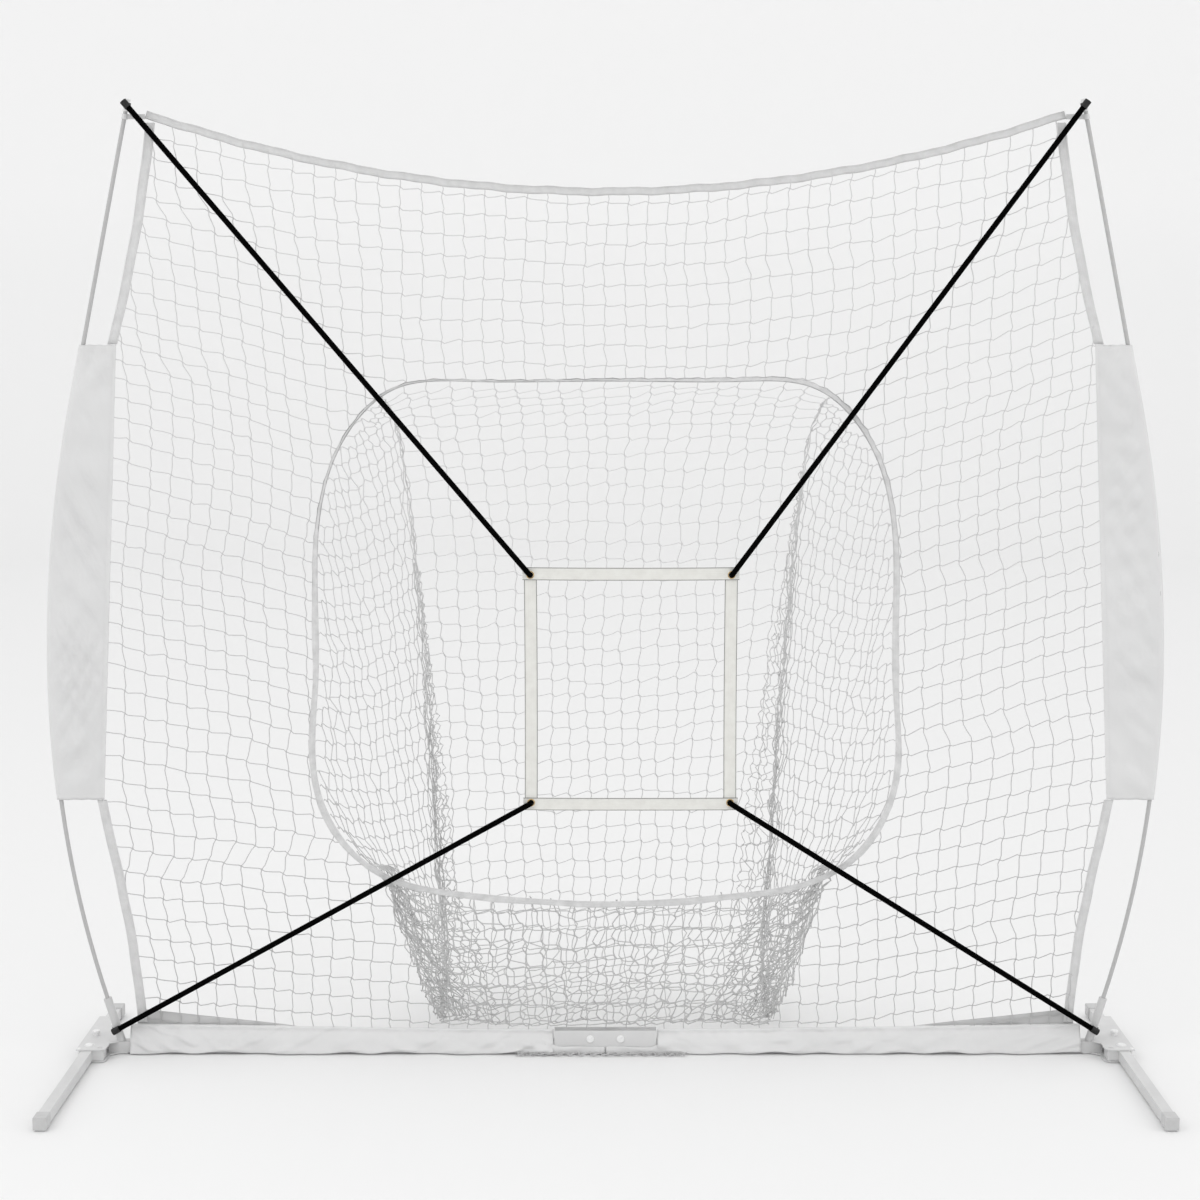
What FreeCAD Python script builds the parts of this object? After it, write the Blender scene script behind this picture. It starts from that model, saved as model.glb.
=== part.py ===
"""Pitching target net: a ball-catching net on two bowed poles and a folding-leg steel base,
with a strike-zone target held in front of the net by four elastic cords.

Millimetres. +X is the thrower's right, +Y points away from the thrower, +Z is up.
The origin is on the ground, under the middle of the base bar's axis.
Each named piece is written to parts/NAME.step.
"""
import FreeCAD, Part
import math
import os

Vec = FreeCAD.Vector

# ---- driving dimensions -------------------------------------------------------------------
# Base bar and its corners
TUBE = 25.4                 # outside of the square base tube
TUBE_WALL = 1.5
TUBE_GROUND_GAP = 3.6       # under the base tube
PLATE = 2.4                 # thickness of the corner plates
BASE_HALF = 1148.0          # end of each base tube from the middle
CORNER_OUTER = 61.0         # outer edge of a corner plate past the base tube's end
CORNER_FRONT_Y = -76.0
CORNER_REAR_Y = 170.0
CORNER_INNER = 6.0          # inner edge of the plate in front of the bar, short of the tube's end
CORNER_ROUND = 16.0
PLATE_NECK = 24.0           # how far the plates run in over and under the bar
PLATE_LIP = 3.0             # beside the leg, at the plate's rear end
PLATE_TAPER_IN = 16.0       # where the plate starts to taper toward its rear
PLATE_TAPER_BACK = 46.0
PLATE_NOTCH = 14.0          # in front of the bar
SLOT_LENGTH = 12.0
SLOT_WIDTH = 3.2
SLOT_IN = 15.0              # the slot's middle, in from the plate's inner and front edges
SLOT_BACK = 14.0
PLATE_TONGUE = 20.0         # how far the bottom plate runs in under the bar
FIT = 0.3                   # clearance between pieces that move past each other

# Middle hinge
HINGE_HALF = 118.0
HINGE_SIDE_RISE = 27.0      # the channel's sides above the tubes' top
HINGE_WALL = 2.0
HINGE_BOLT_X = 35.0
HINGE_BOLT_RISE = 8.0       # the bolts' axis above the tubes' top
HINGE_BOLT_R = 4.0
HINGE_BOLT_FIT = 0.1        # radial, in the channel; half of it in the lugs
HINGE_HEAD_R = 9.0
HINGE_HEAD = 3.2
HINGE_TUBE_GAP = 8.0        # between the two base tubes at the middle
LUG_LENGTH = 84.0

# Legs
LEG = 24.0                  # outside of the square leg tube
LEG_WALL = 1.5
LEG_OUT = 37.0              # the leg's axis past the base tube's end
LEG_FRONT_Y = -505.0
LEG_REAR_Y = 272.0
PIVOT_Y = -45.0
PIVOT_R = 5.0
PIVOT_HEAD_R = 9.5
PIVOT_HEAD = 4.0
PIVOT_RUNNING = 0.08        # radial clearance of the leg on its bolt
BLOCK_INNER = 37.0          # stop block's reach from the pivot, inward
BLOCK_FRONT = 27.0          # and forward
BLOCK_REAR = 9.0            # and backward
FOOT_WALL = 2.6
FOOT_LENGTH = 34.0
FOOT_UNDER = 1.4            # of the rubber under the leg, without the pad
FOOT_OVER = 2.0             # and over it
FOOT_PAD_ROUND = 4.0

# Lock plunger
PLUNGER_BACK = 75.0         # behind the pivot
PLUNGER_R = 4.0
PLUNGER_HEAD_R = 9.0
PLUNGER_HEAD = 5.0
COLLAR_R = 7.5
COLLAR_HEIGHT = 7.0
COLLAR_SPIGOT = 5.5         # the collar's radius inside the plate
PLUNGER_RUNNING = 0.08
SPIGOT_FIT = 0.02

# Rivets
RIVET_R = 2.6
RIVET_HEAD_R = 4.6
RIVET_HEAD = 1.8
RIVET_EDGE = 1.5            # from the rivet's head to the plate's edge
RIVET_OFF_LEG = 5.0         # between the rear rivet's head and the leg
RIVET_REAR = 62.0           # the rear rivet, in from the plate's rear edge

# Poles
POLE_R = 4.75
POLE_IN = 28.0              # pole axis at the tube's top face, in from the tube's end
POLE_LEAN = 16.6            # outward lean of the socket, degrees
POLE_WIDEST_Z = 860.0
POLE_UPPER_RADIUS = 3100.0
POLE_TOP_LEAN = 12.0        # inward lean of the straight top part, degrees
POLE_TOP_Z = 2164.0
SOCKET_TOP_Z = 130.0
SOCKET_R = 9.5
SOCKET_DEPTH_Z = 46.0       # the pole stands on the socket's floor at this height
SOCKET_CLEARANCE = 0.15
FERRULE_Z = 1115.0
FERRULE_LENGTH = 130.0
FERRULE_WALL = 1.3
CAP_LENGTH = 26.0
CAP_WALL = 1.6

# Net
NET_T = 2.0                 # thickness that stands for the net's twine and knots
NET_OFF_SKIRT = 3.0         # the net's bottom edge over the skirt
NET_CORNER_IN = 41.0        # the net's top corner, in from the pole's tip
NET_CORNER_BELOW = 22.0     # and below it
NET_TOP_SAG = 167.0
SLEEVE_UPPER_WIDTH = 74.0   # from the pole's axis in to the net, at the sleeve's top
SLEEVE_LOWER_WIDTH = 100.0  # and at its bottom
EDGE_WEB = 22.0
EDGE_WEB_T = 3.6
RIM_WEB = 16.0
STRAP_HEIGHT = 11.0         # of the straps at the net's top corners
NET_STRAP_T = 1.6
SLEEVE_TOP_Z = 1629.0
SLEEVE_BOTTOM_Z = 598.0
SLEEVE_HALF_GAP = 7.5
SLEEVE_WALL = 1.5
SLEEVE_MARGIN = 9.0         # fabric outside the pole axis

# Opening and ball pocket
RIM_TOP_Z = 1548.0
RIM_TOP_HALF = 470.0        # the opening's upper corner
RIM_TOP_FALL = 18.0         # of its top edge, from the middle to that corner
RIM_SHOULDER_Z = 1440.0
RIM_SHOULDER_HALF = 570.0
RIM_WAIST_Z = 880.0
RIM_WAIST_HALF = 650.0
RIM_HIP_Z = 600.0
RIM_HIP_HALF = 645.0
RIM_LOW_Z = 445.0           # its lower corner
RIM_LOW_HALF = 537.0
RIM_BOTTOM_Z = 360.0
RIM_CORNER = 2              # number of the upper corner among the outline's points
RIM_FOOT = 6                # of the lower corner
RIM_END = 8                 # and of the middle below
POCKET_DEPTH = 505.6
POCKET_BACK_HALF = 420.0
POCKET_FLOOR_Z = 62.0

# Skirt
SKIRT_END_IN = 50.0         # the skirt's end, in from the tube's end
SKIRT_TOP_RISE = 40.0       # its gathered top above the tube's top
SKIRT_SLACK = 2.1           # between the tube and the fabric
SKIRT_T = 1.4
SKIRT_GROUND_GAP = 1.0

# Target
TARGET_SHIFT_X = 57.0
TARGET_Z = 856.0
TARGET_WIDTH = 487.0
TARGET_HEIGHT = 556.0
STRAP_WIDTH = 29.0
STRAP_T = 2.6
SIDE_STRAP_SHORT = 4.0      # the side straps end short of the level straps' outer edges
SIDE_STRAP_IN = 3.0         # and stand in from their ends
TARGET_Y = -22.0            # middle of the straps
GROMMET_R = 8.6
GROMMET_BORE = 6.65
GROMMET_LIP = 1.0
GROMMET_INSET_X = 17.5
GROMMET_INSET_Z = 17.5
CORD_R = 6.35
KNOT_R = 8.5
ELBOW_R = 6.85              # the cord's turn in front of the grommet

# Cord clips
CLIP_WALL = 1.8
CLIP_HEIGHT = 9.0
CLIP_BARREL_R = 7.8
CLIP_BARREL = 18.0
CLIP_RUNNING = 0.2          # round the pole
TOP_CLIP_BELOW_TIP = 11.0
LOW_CLIP_Z = 58.0

# ---- sizes that follow ---------------------------------------------------------------------
TUBE_TOP_Z = TUBE_GROUND_GAP + TUBE
TUBE_MID_Z = TUBE_GROUND_GAP + TUBE / 2
PLATE_TOP_Z = TUBE_TOP_Z + PLATE
PLATE_BOTTOM_Z = TUBE_GROUND_GAP - PLATE
LEG_LOW_Z = TUBE_MID_Z - LEG / 2
LEG_TOP_Z = TUBE_MID_Z + LEG / 2
PLUNGER_Y = PIVOT_Y + PLUNGER_BACK
CAP_R = POLE_R + SOCKET_CLEARANCE + CAP_WALL
CORNER_OUTER_X = BASE_HALF + CORNER_OUTER
CORNER_INNER_X = BASE_HALF - CORNER_INNER
LEG_X = BASE_HALF + LEG_OUT
POLE_BASE_X = BASE_HALF - POLE_IN
HINGE_TOP_Z = TUBE_TOP_Z + HINGE_SIDE_RISE
HINGE_BOLT_Z = TUBE_TOP_Z + HINGE_BOLT_RISE
SKIRT_END_X = BASE_HALF - SKIRT_END_IN
SKIRT_INNER_X = HINGE_HALF + 1.5
SKIRT_TOP_Z = TUBE_TOP_Z + SKIRT_TOP_RISE
SKIRT_HALF_GAP = TUBE / 2 + SKIRT_SLACK
NET_FOOT_X = SKIRT_END_X
NET_BOTTOM_Z = SKIRT_TOP_Z + NET_OFF_SKIRT


def box(x0, x1, y0, y1, z0, z1):
    """A box between two corners, given in any order."""
    low = Vec(min(x0, x1), min(y0, y1), min(z0, z1))
    return Part.makeBox(abs(x1 - x0), abs(y1 - y0), abs(z1 - z0), low)


def rod(radius, start, end):
    """A cylinder from one point to another."""
    run = end - start
    return Part.makeCylinder(radius, run.Length, start, run)


def mirrored(shape):
    """The same piece on the other side of the middle."""
    return shape.mirror(Vec(0, 0, 0), Vec(1, 0, 0))


def group(shapes):
    """Separate solids in one node."""
    return Part.makeCompound(shapes)


def prism(points, z0, z1, round_at=None, radius=0.0):
    """An upright prism on an outline in X and Y, with one corner rounded if asked."""
    wire = Part.makePolygon([Vec(x, y, z0) for x, y in points + points[:1]])
    solid = Part.Face(wire).extrude(Vec(0, 0, z1 - z0))
    if round_at is None:
        return solid
    corner_x, corner_y = round_at
    edges = []
    for edge in solid.Edges:
        ends = [vertex.Point for vertex in edge.Vertexes]
        upright = all(abs(p.x - corner_x) + abs(p.y - corner_y) < 0.01 for p in ends)
        if upright:
            edges.append(edge)
    return solid.makeFillet(radius, edges)


# ---- poles ---------------------------------------------------------------------------------
class PoleLine:
    """The right pole's centre line: straight socket part, two tangent arcs, straight top."""

    def __init__(self):
        lean = math.radians(POLE_LEAN)
        top_lean = math.radians(POLE_TOP_LEAN)
        self.up = Vec(math.sin(lean), 0, math.cos(lean))
        self.down_in = Vec(-math.sin(top_lean), 0, math.cos(top_lean))
        self.foot = Vec(POLE_BASE_X, 0, TUBE_TOP_Z)
        straight = (SOCKET_TOP_Z - TUBE_TOP_Z) / math.cos(lean)
        self.p1 = self.foot + self.up * straight
        self.r1 = (POLE_WIDEST_Z - SOCKET_TOP_Z) / math.sin(lean)
        self.widest = self.p1.x + self.r1 * (1 - math.cos(lean))
        self.c1 = Vec(self.widest - self.r1, 0, POLE_WIDEST_Z)
        self.c2 = Vec(self.widest - POLE_UPPER_RADIUS, 0, POLE_WIDEST_Z)
        self.p2 = Vec(self.widest, 0, POLE_WIDEST_Z)
        self.p3 = self.c2 + Vec(math.cos(top_lean), 0, math.sin(top_lean)) * POLE_UPPER_RADIUS
        self.tip = self.p3 + self.down_in * ((POLE_TOP_Z - self.p3.z) / math.cos(top_lean))

    def at(self, z):
        """The point of the centre line at a height, and its direction there."""
        if z <= self.p1.z:
            return self.foot + self.up * ((z - self.foot.z) / self.up.z), self.up
        if z >= self.p3.z:
            return self.p3 + self.down_in * ((z - self.p3.z) / self.down_in.z), self.down_in
        centre, radius = (self.c1, self.r1) if z <= POLE_WIDEST_Z else (self.c2, POLE_UPPER_RADIUS)
        rise = z - centre.z
        across = math.sqrt(radius ** 2 - rise ** 2)
        return Vec(centre.x + across, 0, z), Vec(-rise / radius, 0, across / radius)

    def _arc(self, centre, radius, z0, z1):
        points = []
        for z in (z0, (z0 + z1) / 2, z1):
            points.append(Vec(centre.x + math.sqrt(radius ** 2 - (z - centre.z) ** 2), 0, z))
        return Part.Arc(*points).toShape()

    def wire(self, z0, z1):
        """The centre line between two heights."""
        edges = []
        if z0 < self.p1.z:
            top = min(z1, self.p1.z)
            edges.append(Part.LineSegment(self.at(z0)[0], self.at(top)[0]).toShape())
        for centre, radius, low, high in ((self.c1, self.r1, self.p1.z, POLE_WIDEST_Z),
                                          (self.c2, POLE_UPPER_RADIUS, POLE_WIDEST_Z, self.p3.z)):
            start = max(z0, low)
            end = min(z1, high)
            if end - start > 0.5:
                edges.append(self._arc(centre, radius, start, end))
        if z1 > self.p3.z:
            start = max(z0, self.p3.z)
            edges.append(Part.LineSegment(self.at(start)[0], self.at(z1)[0]).toShape())
        return Part.Wire(edges)

    def pipe(self, radius, z0, z1):
        """A round bar on the centre line between two heights."""
        start, direction = self.at(z0)
        circle = Part.Wire(Part.Circle(start, direction, radius).toShape())
        return self.wire(z0, z1).makePipeShell([circle], True, False)


POLE = PoleLine()
NET_CORNER_X = POLE.tip.x - NET_CORNER_IN
NET_CORNER_Z = POLE_TOP_Z - NET_CORNER_BELOW
NET_EDGE_UPPER_X = POLE.at(SLEEVE_TOP_Z)[0].x - SLEEVE_UPPER_WIDTH
NET_EDGE_LOWER_X = POLE.at(SLEEVE_BOTTOM_Z)[0].x - SLEEVE_LOWER_WIDTH


def lower_pole():
    return POLE.pipe(POLE_R, SOCKET_DEPTH_Z, FERRULE_Z)


def upper_pole():
    return POLE.pipe(POLE_R, FERRULE_Z, POLE_TOP_Z)


def ferrule():
    inner = POLE_R + SOCKET_CLEARANCE
    low = FERRULE_Z - FERRULE_LENGTH / 2
    high = FERRULE_Z + FERRULE_LENGTH / 2
    outside = POLE.pipe(inner + FERRULE_WALL, low, high)
    return outside.cut(POLE.pipe(inner, low - 2, high + 2))


def tip_cap():
    """A cap over the rod's end, closed above it."""
    inner = POLE_R + SOCKET_CLEARANCE
    tip, direction = POLE.at(POLE_TOP_Z)
    low = tip - direction * CAP_LENGTH
    top = tip + direction * (CAP_WALL + FIT)
    outside = rod(CAP_R, low, top)
    edges = [edge for edge in outside.Edges if edge.CenterOfMass.sub(top).Length < 0.5]
    outside = outside.makeFillet(CAP_WALL, edges)
    return outside.cut(rod(inner, low - direction, tip + direction * FIT))


def pole_socket():
    """A leaning tube cut off level on the base tube's top face, with a floor for the pole."""
    below = POLE.at(TUBE_TOP_Z - 12)[0]
    top = POLE.at(SOCKET_TOP_Z)[0]
    tube = rod(SOCKET_R, below, top)
    floor_at = POLE.at(SOCKET_DEPTH_Z)[0] - POLE.up * FIT
    tube = tube.cut(rod(POLE_R + SOCKET_CLEARANCE, floor_at, top + POLE.up * 5))
    reach = SOCKET_R + 40
    below_face = box(POLE_BASE_X - reach, POLE_BASE_X + reach, -reach, reach, -reach, TUBE_TOP_Z)
    return tube.cut(below_face)


# ---- base ----------------------------------------------------------------------------------
def base_tube():
    half = TUBE / 2
    inner = half - TUBE_WALL
    start = HINGE_TUBE_GAP / 2
    tube = box(start, BASE_HALF, -half, half, TUBE_GROUND_GAP, TUBE_TOP_Z)
    hollow_low = TUBE_GROUND_GAP + TUBE_WALL
    hollow = box(start - 1, BASE_HALF - TUBE_WALL, -inner, inner, hollow_low, TUBE_TOP_Z - TUBE_WALL)
    return tube.cut(hollow)


def hinge_channel():
    """A channel open at the top, under and beside both tube ends."""
    inner = TUBE / 2 + FIT
    outer = inner + HINGE_WALL
    low = TUBE_GROUND_GAP - FIT - HINGE_WALL
    channel = box(-HINGE_HALF, HINGE_HALF, -outer, outer, low, HINGE_TOP_Z)
    room = box(-HINGE_HALF - 1, HINGE_HALF + 1, -inner, inner, low + HINGE_WALL, HINGE_TOP_Z + 1)
    channel = channel.cut(room)
    for x in (-HINGE_BOLT_X, HINGE_BOLT_X):
        front = Vec(x, -outer - 1, HINGE_BOLT_Z)
        bore = rod(HINGE_BOLT_R + HINGE_BOLT_FIT, front, front + Vec(0, 2 * outer + 2, 0))
        channel = channel.cut(bore)
    return channel


def hinge_lug():
    """The lug welded on top of a tube's end, with a round end about the hinge bolt."""
    half = TUBE / 2
    reach = HINGE_BOLT_Z - TUBE_TOP_Z
    lug_top = HINGE_BOLT_Z + reach
    end = HINGE_BOLT_X + LUG_LENGTH
    lug = box(HINGE_BOLT_X, end, -half, half, TUBE_TOP_Z, lug_top)
    nose_low = Vec(HINGE_BOLT_X, -half, HINGE_BOLT_Z)
    nose = rod(reach, nose_low, nose_low + Vec(0, TUBE, 0))
    lug = lug.fuse(nose).removeSplitter()
    bore = rod(HINGE_BOLT_R + HINGE_BOLT_FIT / 2, nose_low - Vec(0, 1, 0), nose_low + Vec(0, TUBE + 1, 0))
    wedge = Part.makePolygon([Vec(end - 16, -half, lug_top + 0.1), Vec(end + 0.1, -half, lug_top + 0.1),
                              Vec(end + 0.1, -half, TUBE_TOP_Z + 3), Vec(end - 16, -half, lug_top + 0.1)])
    slope = Part.Face(wedge).extrude(Vec(0, TUBE, 0))
    return lug.cut(bore).cut(slope)


def hinge_bolt(x):
    outer = TUBE / 2 + FIT + HINGE_WALL
    front = Vec(x, -outer, HINGE_BOLT_Z)
    back = Vec(x, outer, HINGE_BOLT_Z)
    shank = rod(HINGE_BOLT_R, front, back)
    head = rod(HINGE_HEAD_R, front, front - Vec(0, HINGE_HEAD, 0))
    rim = [edge for edge in head.Edges if abs(edge.CenterOfMass.y - front.y + HINGE_HEAD) < 0.01]
    head = head.makeFillet(HINGE_HEAD * 0.6, rim)
    nut = rod(HINGE_HEAD_R * 0.8, back, back + Vec(0, HINGE_HEAD * 1.4, 0))
    return shank.fuse([head, nut])


# ---- corners -------------------------------------------------------------------------------
def plate_outline():
    """A corner plate: broad round the pivot, tapering back along the leg."""
    half = TUBE / 2
    return [(CORNER_INNER_X, CORNER_FRONT_Y), (CORNER_OUTER_X, CORNER_FRONT_Y),
            (CORNER_OUTER_X, CORNER_REAR_Y), (LEG_X - LEG / 2 - PLATE_LIP, CORNER_REAR_Y),
            (CORNER_INNER_X + PLATE_TAPER_IN, half + PLATE_TAPER_BACK),
            (BASE_HALF - PLATE_NECK, half), (BASE_HALF - PLATE_NECK, -half),
            (CORNER_INNER_X, -half - PLATE_NOTCH)]


def corner_holes(solid, z0, z1):
    """Bores for the pivot bolt and rivets, and the strap slot."""
    cuts = [rod(PIVOT_R + PIVOT_RUNNING, Vec(LEG_X, PIVOT_Y, z0), Vec(LEG_X, PIVOT_Y, z1))]
    for x, y in rivet_places():
        cuts.append(rod(RIVET_R + 0.05, Vec(x, y, z0), Vec(x, y, z1)))
    slot_x = CORNER_INNER_X + SLOT_IN
    slot_y = CORNER_FRONT_Y + SLOT_BACK
    half_long = SLOT_LENGTH / 2
    half_wide = SLOT_WIDTH / 2
    cuts.append(box(slot_x - half_long, slot_x + half_long, slot_y - half_wide, slot_y + half_wide, z0, z1))
    return solid.cut(cuts)


def rivet_places():
    """One rivet outside the leg at the front, one inside it at the back."""
    front = (CORNER_OUTER_X - RIVET_HEAD_R - RIVET_EDGE, CORNER_FRONT_Y + RIVET_HEAD_R + 2 * RIVET_EDGE)
    rear = (LEG_X - LEG / 2 - RIVET_HEAD_R - RIVET_OFF_LEG, CORNER_REAR_Y - RIVET_REAR)
    return [front, rear]


def corner_top_plate():
    z0, z1 = TUBE_TOP_Z, PLATE_TOP_Z
    plate = prism(plate_outline(), z0, z1, (CORNER_INNER_X, CORNER_FRONT_Y), CORNER_ROUND)
    plate = corner_holes(plate, z0 - 1, z1 + 1)
    plate = plate.cut(rod(COLLAR_SPIGOT, Vec(LEG_X, PLUNGER_Y, z0 - 1), Vec(LEG_X, PLUNGER_Y, z1 + 1)))
    socket_room = rod(SOCKET_R + FIT, POLE.at(TUBE_TOP_Z - 20)[0], POLE.at(SOCKET_TOP_Z)[0])
    return plate.cut(socket_room)


def corner_bottom_plate():
    z0, z1 = PLATE_BOTTOM_Z, TUBE_GROUND_GAP
    half = TUBE / 2
    plate = prism(plate_outline(), z0, z1, (CORNER_INNER_X, CORNER_FRONT_Y), CORNER_ROUND)
    tongue = box(BASE_HALF - PLATE_NECK - PLATE_TONGUE, BASE_HALF - PLATE_NECK + 4, -half, half, z0, z1)
    return corner_holes(plate.fuse(tongue).removeSplitter(), z0 - 1, z1 + 1)


def rivet(x, y):
    """A rivet through both plates, with a spacer tube between them."""
    low = Vec(x, y, PLATE_BOTTOM_Z)
    high = Vec(x, y, PLATE_TOP_Z)
    shank = rod(RIVET_R, low, high)
    spacer = rod(RIVET_R + 1.2, Vec(x, y, TUBE_GROUND_GAP), Vec(x, y, TUBE_TOP_Z))
    head = rod(RIVET_HEAD_R, high, high + Vec(0, 0, RIVET_HEAD))
    rim = [edge for edge in head.Edges if abs(edge.CenterOfMass.z - high.z - RIVET_HEAD) < 0.01]
    return shank.fuse([spacer, head.makeFillet(RIVET_HEAD * 0.7, rim)])


def pivot_bolt():
    low = Vec(LEG_X, PIVOT_Y, PLATE_BOTTOM_Z)
    high = Vec(LEG_X, PIVOT_Y, PLATE_TOP_Z)
    washer = rod(PIVOT_HEAD_R + 2, high, high + Vec(0, 0, 1.2))
    head = rod(PIVOT_HEAD_R, high, high + Vec(0, 0, PIVOT_HEAD))
    rim = [edge for edge in head.Edges if abs(edge.CenterOfMass.z - high.z - PIVOT_HEAD) < 0.01]
    return rod(PIVOT_R, low, high).fuse([washer, head.makeFillet(PIVOT_HEAD * 0.6, rim)])


# ---- legs ----------------------------------------------------------------------------------
def leg_tube():
    half = LEG / 2
    inner = half - LEG_WALL
    tube = box(LEG_X - half, LEG_X + half, LEG_FRONT_Y, LEG_REAR_Y, LEG_LOW_Z, LEG_TOP_Z)
    hollow = box(LEG_X - inner, LEG_X + inner, LEG_FRONT_Y - 1, LEG_REAR_Y + 1,
                 LEG_LOW_Z + LEG_WALL, LEG_TOP_Z - LEG_WALL)
    bore = rod(PIVOT_R + PIVOT_RUNNING, Vec(LEG_X, PIVOT_Y, 0), Vec(LEG_X, PIVOT_Y, PLATE_TOP_Z))
    return tube.cut(hollow).cut(bore)


def leg_stop_block():
    """The block welded to the leg's inner side, between the corner plates."""
    inner_x = LEG_X - BLOCK_INNER
    leg_side = LEG_X - LEG / 2
    y0 = PIVOT_Y - BLOCK_FRONT
    y1 = PIVOT_Y + BLOCK_REAR
    block = box(inner_x, leg_side, y0, y1, LEG_LOW_Z, LEG_TOP_Z)
    wall = 2.5
    room = box(inner_x + wall, leg_side + 1, y0 + wall, y1 + 1, LEG_LOW_Z + wall, LEG_TOP_Z - wall)
    return block.cut(room)


def foot(y_end, y_in):
    """A rubber cap on the leg's end, with a narrower pad on the ground."""
    half = LEG / 2
    outer = half + FOOT_WALL
    sign = 1 if y_in > y_end else -1
    closed = y_end - sign * FOOT_WALL
    cap = box(LEG_X - outer, LEG_X + outer, closed, y_in, LEG_LOW_Z - FOOT_UNDER, LEG_TOP_Z + FOOT_OVER)
    lengthwise = [e for e in cap.Edges if abs(e.Vertexes[0].Y - e.Vertexes[-1].Y) > 1]
    cap = cap.makeFillet(2.0, lengthwise)
    pad_half = outer - FOOT_PAD_ROUND
    pad = box(LEG_X - pad_half, LEG_X + pad_half, closed + sign * 2, y_in - sign * 2, 0, LEG_LOW_Z)
    cap = cap.fuse(pad).removeSplitter()
    return cap.cut(box(LEG_X - half, LEG_X + half, y_end, y_in + sign, LEG_LOW_Z, LEG_TOP_Z))


def leg_feet():
    front = foot(LEG_FRONT_Y, LEG_FRONT_Y + FOOT_LENGTH)
    rear = foot(LEG_REAR_Y, LEG_REAR_Y - FOOT_LENGTH)
    return group([front, rear])


def plunger_collar():
    seat = Vec(LEG_X, PLUNGER_Y, PLATE_TOP_Z)
    top = seat + Vec(0, 0, COLLAR_HEIGHT)
    below = Vec(LEG_X, PLUNGER_Y, TUBE_TOP_Z)
    spigot = rod(COLLAR_SPIGOT - SPIGOT_FIT, below, seat)
    collar = rod(COLLAR_R, seat, top).fuse(spigot).removeSplitter()
    over = Vec(0, 0, 1)
    return collar.cut(rod(PLUNGER_R + PLUNGER_RUNNING, below - over, top + over))


def lock_plunger():
    """A pin with a round head; its nose stands just above the leg's top face."""
    nose = Vec(LEG_X, PLUNGER_Y, LEG_TOP_Z + FIT)
    seat = Vec(LEG_X, PLUNGER_Y, PLATE_TOP_Z + COLLAR_HEIGHT + FIT)
    head = rod(PLUNGER_HEAD_R, seat, seat + Vec(0, 0, PLUNGER_HEAD))
    rim = [edge for edge in head.Edges if abs(edge.CenterOfMass.z - seat.z - PLUNGER_HEAD) < 0.01]
    return rod(PLUNGER_R, nose, seat).fuse(head.makeFillet(PLUNGER_HEAD * 0.5, rim))


# ---- net -----------------------------------------------------------------------------------
def sheet(grid, offset):
    """A closed thin solid: a grid of points and the same grid moved by an offset for each point."""
    rows = len(grid)
    cols = len(grid[0])
    back = [[grid[i][j] + offset(i, j) for j in range(cols)] for i in range(rows)]
    faces = []

    def triangle(a, b, c):
        if (b - a).cross(c - a).Length > 1e-3:
            faces.append(Part.Face(Part.makePolygon([a, b, c, a])))

    def patch(a, b, c, d):
        triangle(a, b, c)
        triangle(a, c, d)

    for i in range(rows - 1):
        for j in range(cols - 1):
            patch(grid[i][j], grid[i + 1][j], grid[i + 1][j + 1], grid[i][j + 1])
            patch(back[i][j], back[i][j + 1], back[i + 1][j + 1], back[i + 1][j])
    for i in range(rows - 1):
        for j in (0, cols - 1):
            patch(grid[i][j], back[i][j], back[i + 1][j], grid[i + 1][j])
    for j in range(cols - 1):
        for i in (0, rows - 1):
            patch(grid[i][j], grid[i][j + 1], back[i][j + 1], back[i][j])
    shell = Part.makeShell(faces)
    shell.sewShape()
    solid = Part.makeSolid(shell)
    if solid.Volume < 0:
        solid.reverse()
    return solid


def net_edge_x(z):
    """The net's side edge: from the base out to the sleeve, along it, and in to the top corner."""
    heights = (NET_BOTTOM_Z, SLEEVE_BOTTOM_Z, SLEEVE_TOP_Z, NET_CORNER_Z)
    halves = (NET_FOOT_X, NET_EDGE_LOWER_X, NET_EDGE_UPPER_X, NET_CORNER_X)
    for k in range(3):
        if z <= heights[k + 1]:
            share = (z - heights[k]) / (heights[k + 1] - heights[k])
            return halves[k] + (halves[k + 1] - halves[k]) * share
    return halves[-1]


def net_top_z(x):
    """The top edge hangs in a shallow curve between the corners."""
    return NET_CORNER_Z - NET_TOP_SAG * (1 - (x / NET_CORNER_X) ** 2)


def rim_corners():
    """The opening's outline on the right, from the middle of its top to the middle below."""
    top_mid = RIM_TOP_HALF * 0.64
    low_mid = RIM_LOW_HALF * 0.56
    low_mid_z = RIM_BOTTOM_Z + (RIM_LOW_Z - RIM_BOTTOM_Z) * 0.22
    halves = (0, top_mid, RIM_TOP_HALF, RIM_SHOULDER_HALF, RIM_WAIST_HALF, RIM_HIP_HALF,
              RIM_LOW_HALF, low_mid, 0)
    heights = (RIM_TOP_Z, RIM_TOP_Z - RIM_TOP_FALL / 18, RIM_TOP_Z - RIM_TOP_FALL, RIM_SHOULDER_Z,
               RIM_WAIST_Z, RIM_HIP_Z, RIM_LOW_Z, low_mid_z, RIM_BOTTOM_Z)
    return [Vec(x, 0, z) for x, z in zip(halves, heights)]


def rim_curve():
    """A smooth curve through the outline's points, level at its top and bottom."""
    curve = Part.BSplineCurve()
    curve.interpolate(Points=rim_corners(), InitialTangent=Vec(1, 0, 0), FinalTangent=Vec(-1, 0, 0))
    return curve


RIM = rim_curve()


def rim_points(first, last, count):
    """Evenly spaced points of the opening's outline between two of its numbered points."""
    corners = rim_corners()
    start = RIM.parameter(corners[first])
    end = RIM.parameter(corners[last])
    points = []
    for k in range(count):
        points.append(RIM.value(start + (end - start) * k / (count - 1)))
    return points


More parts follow.
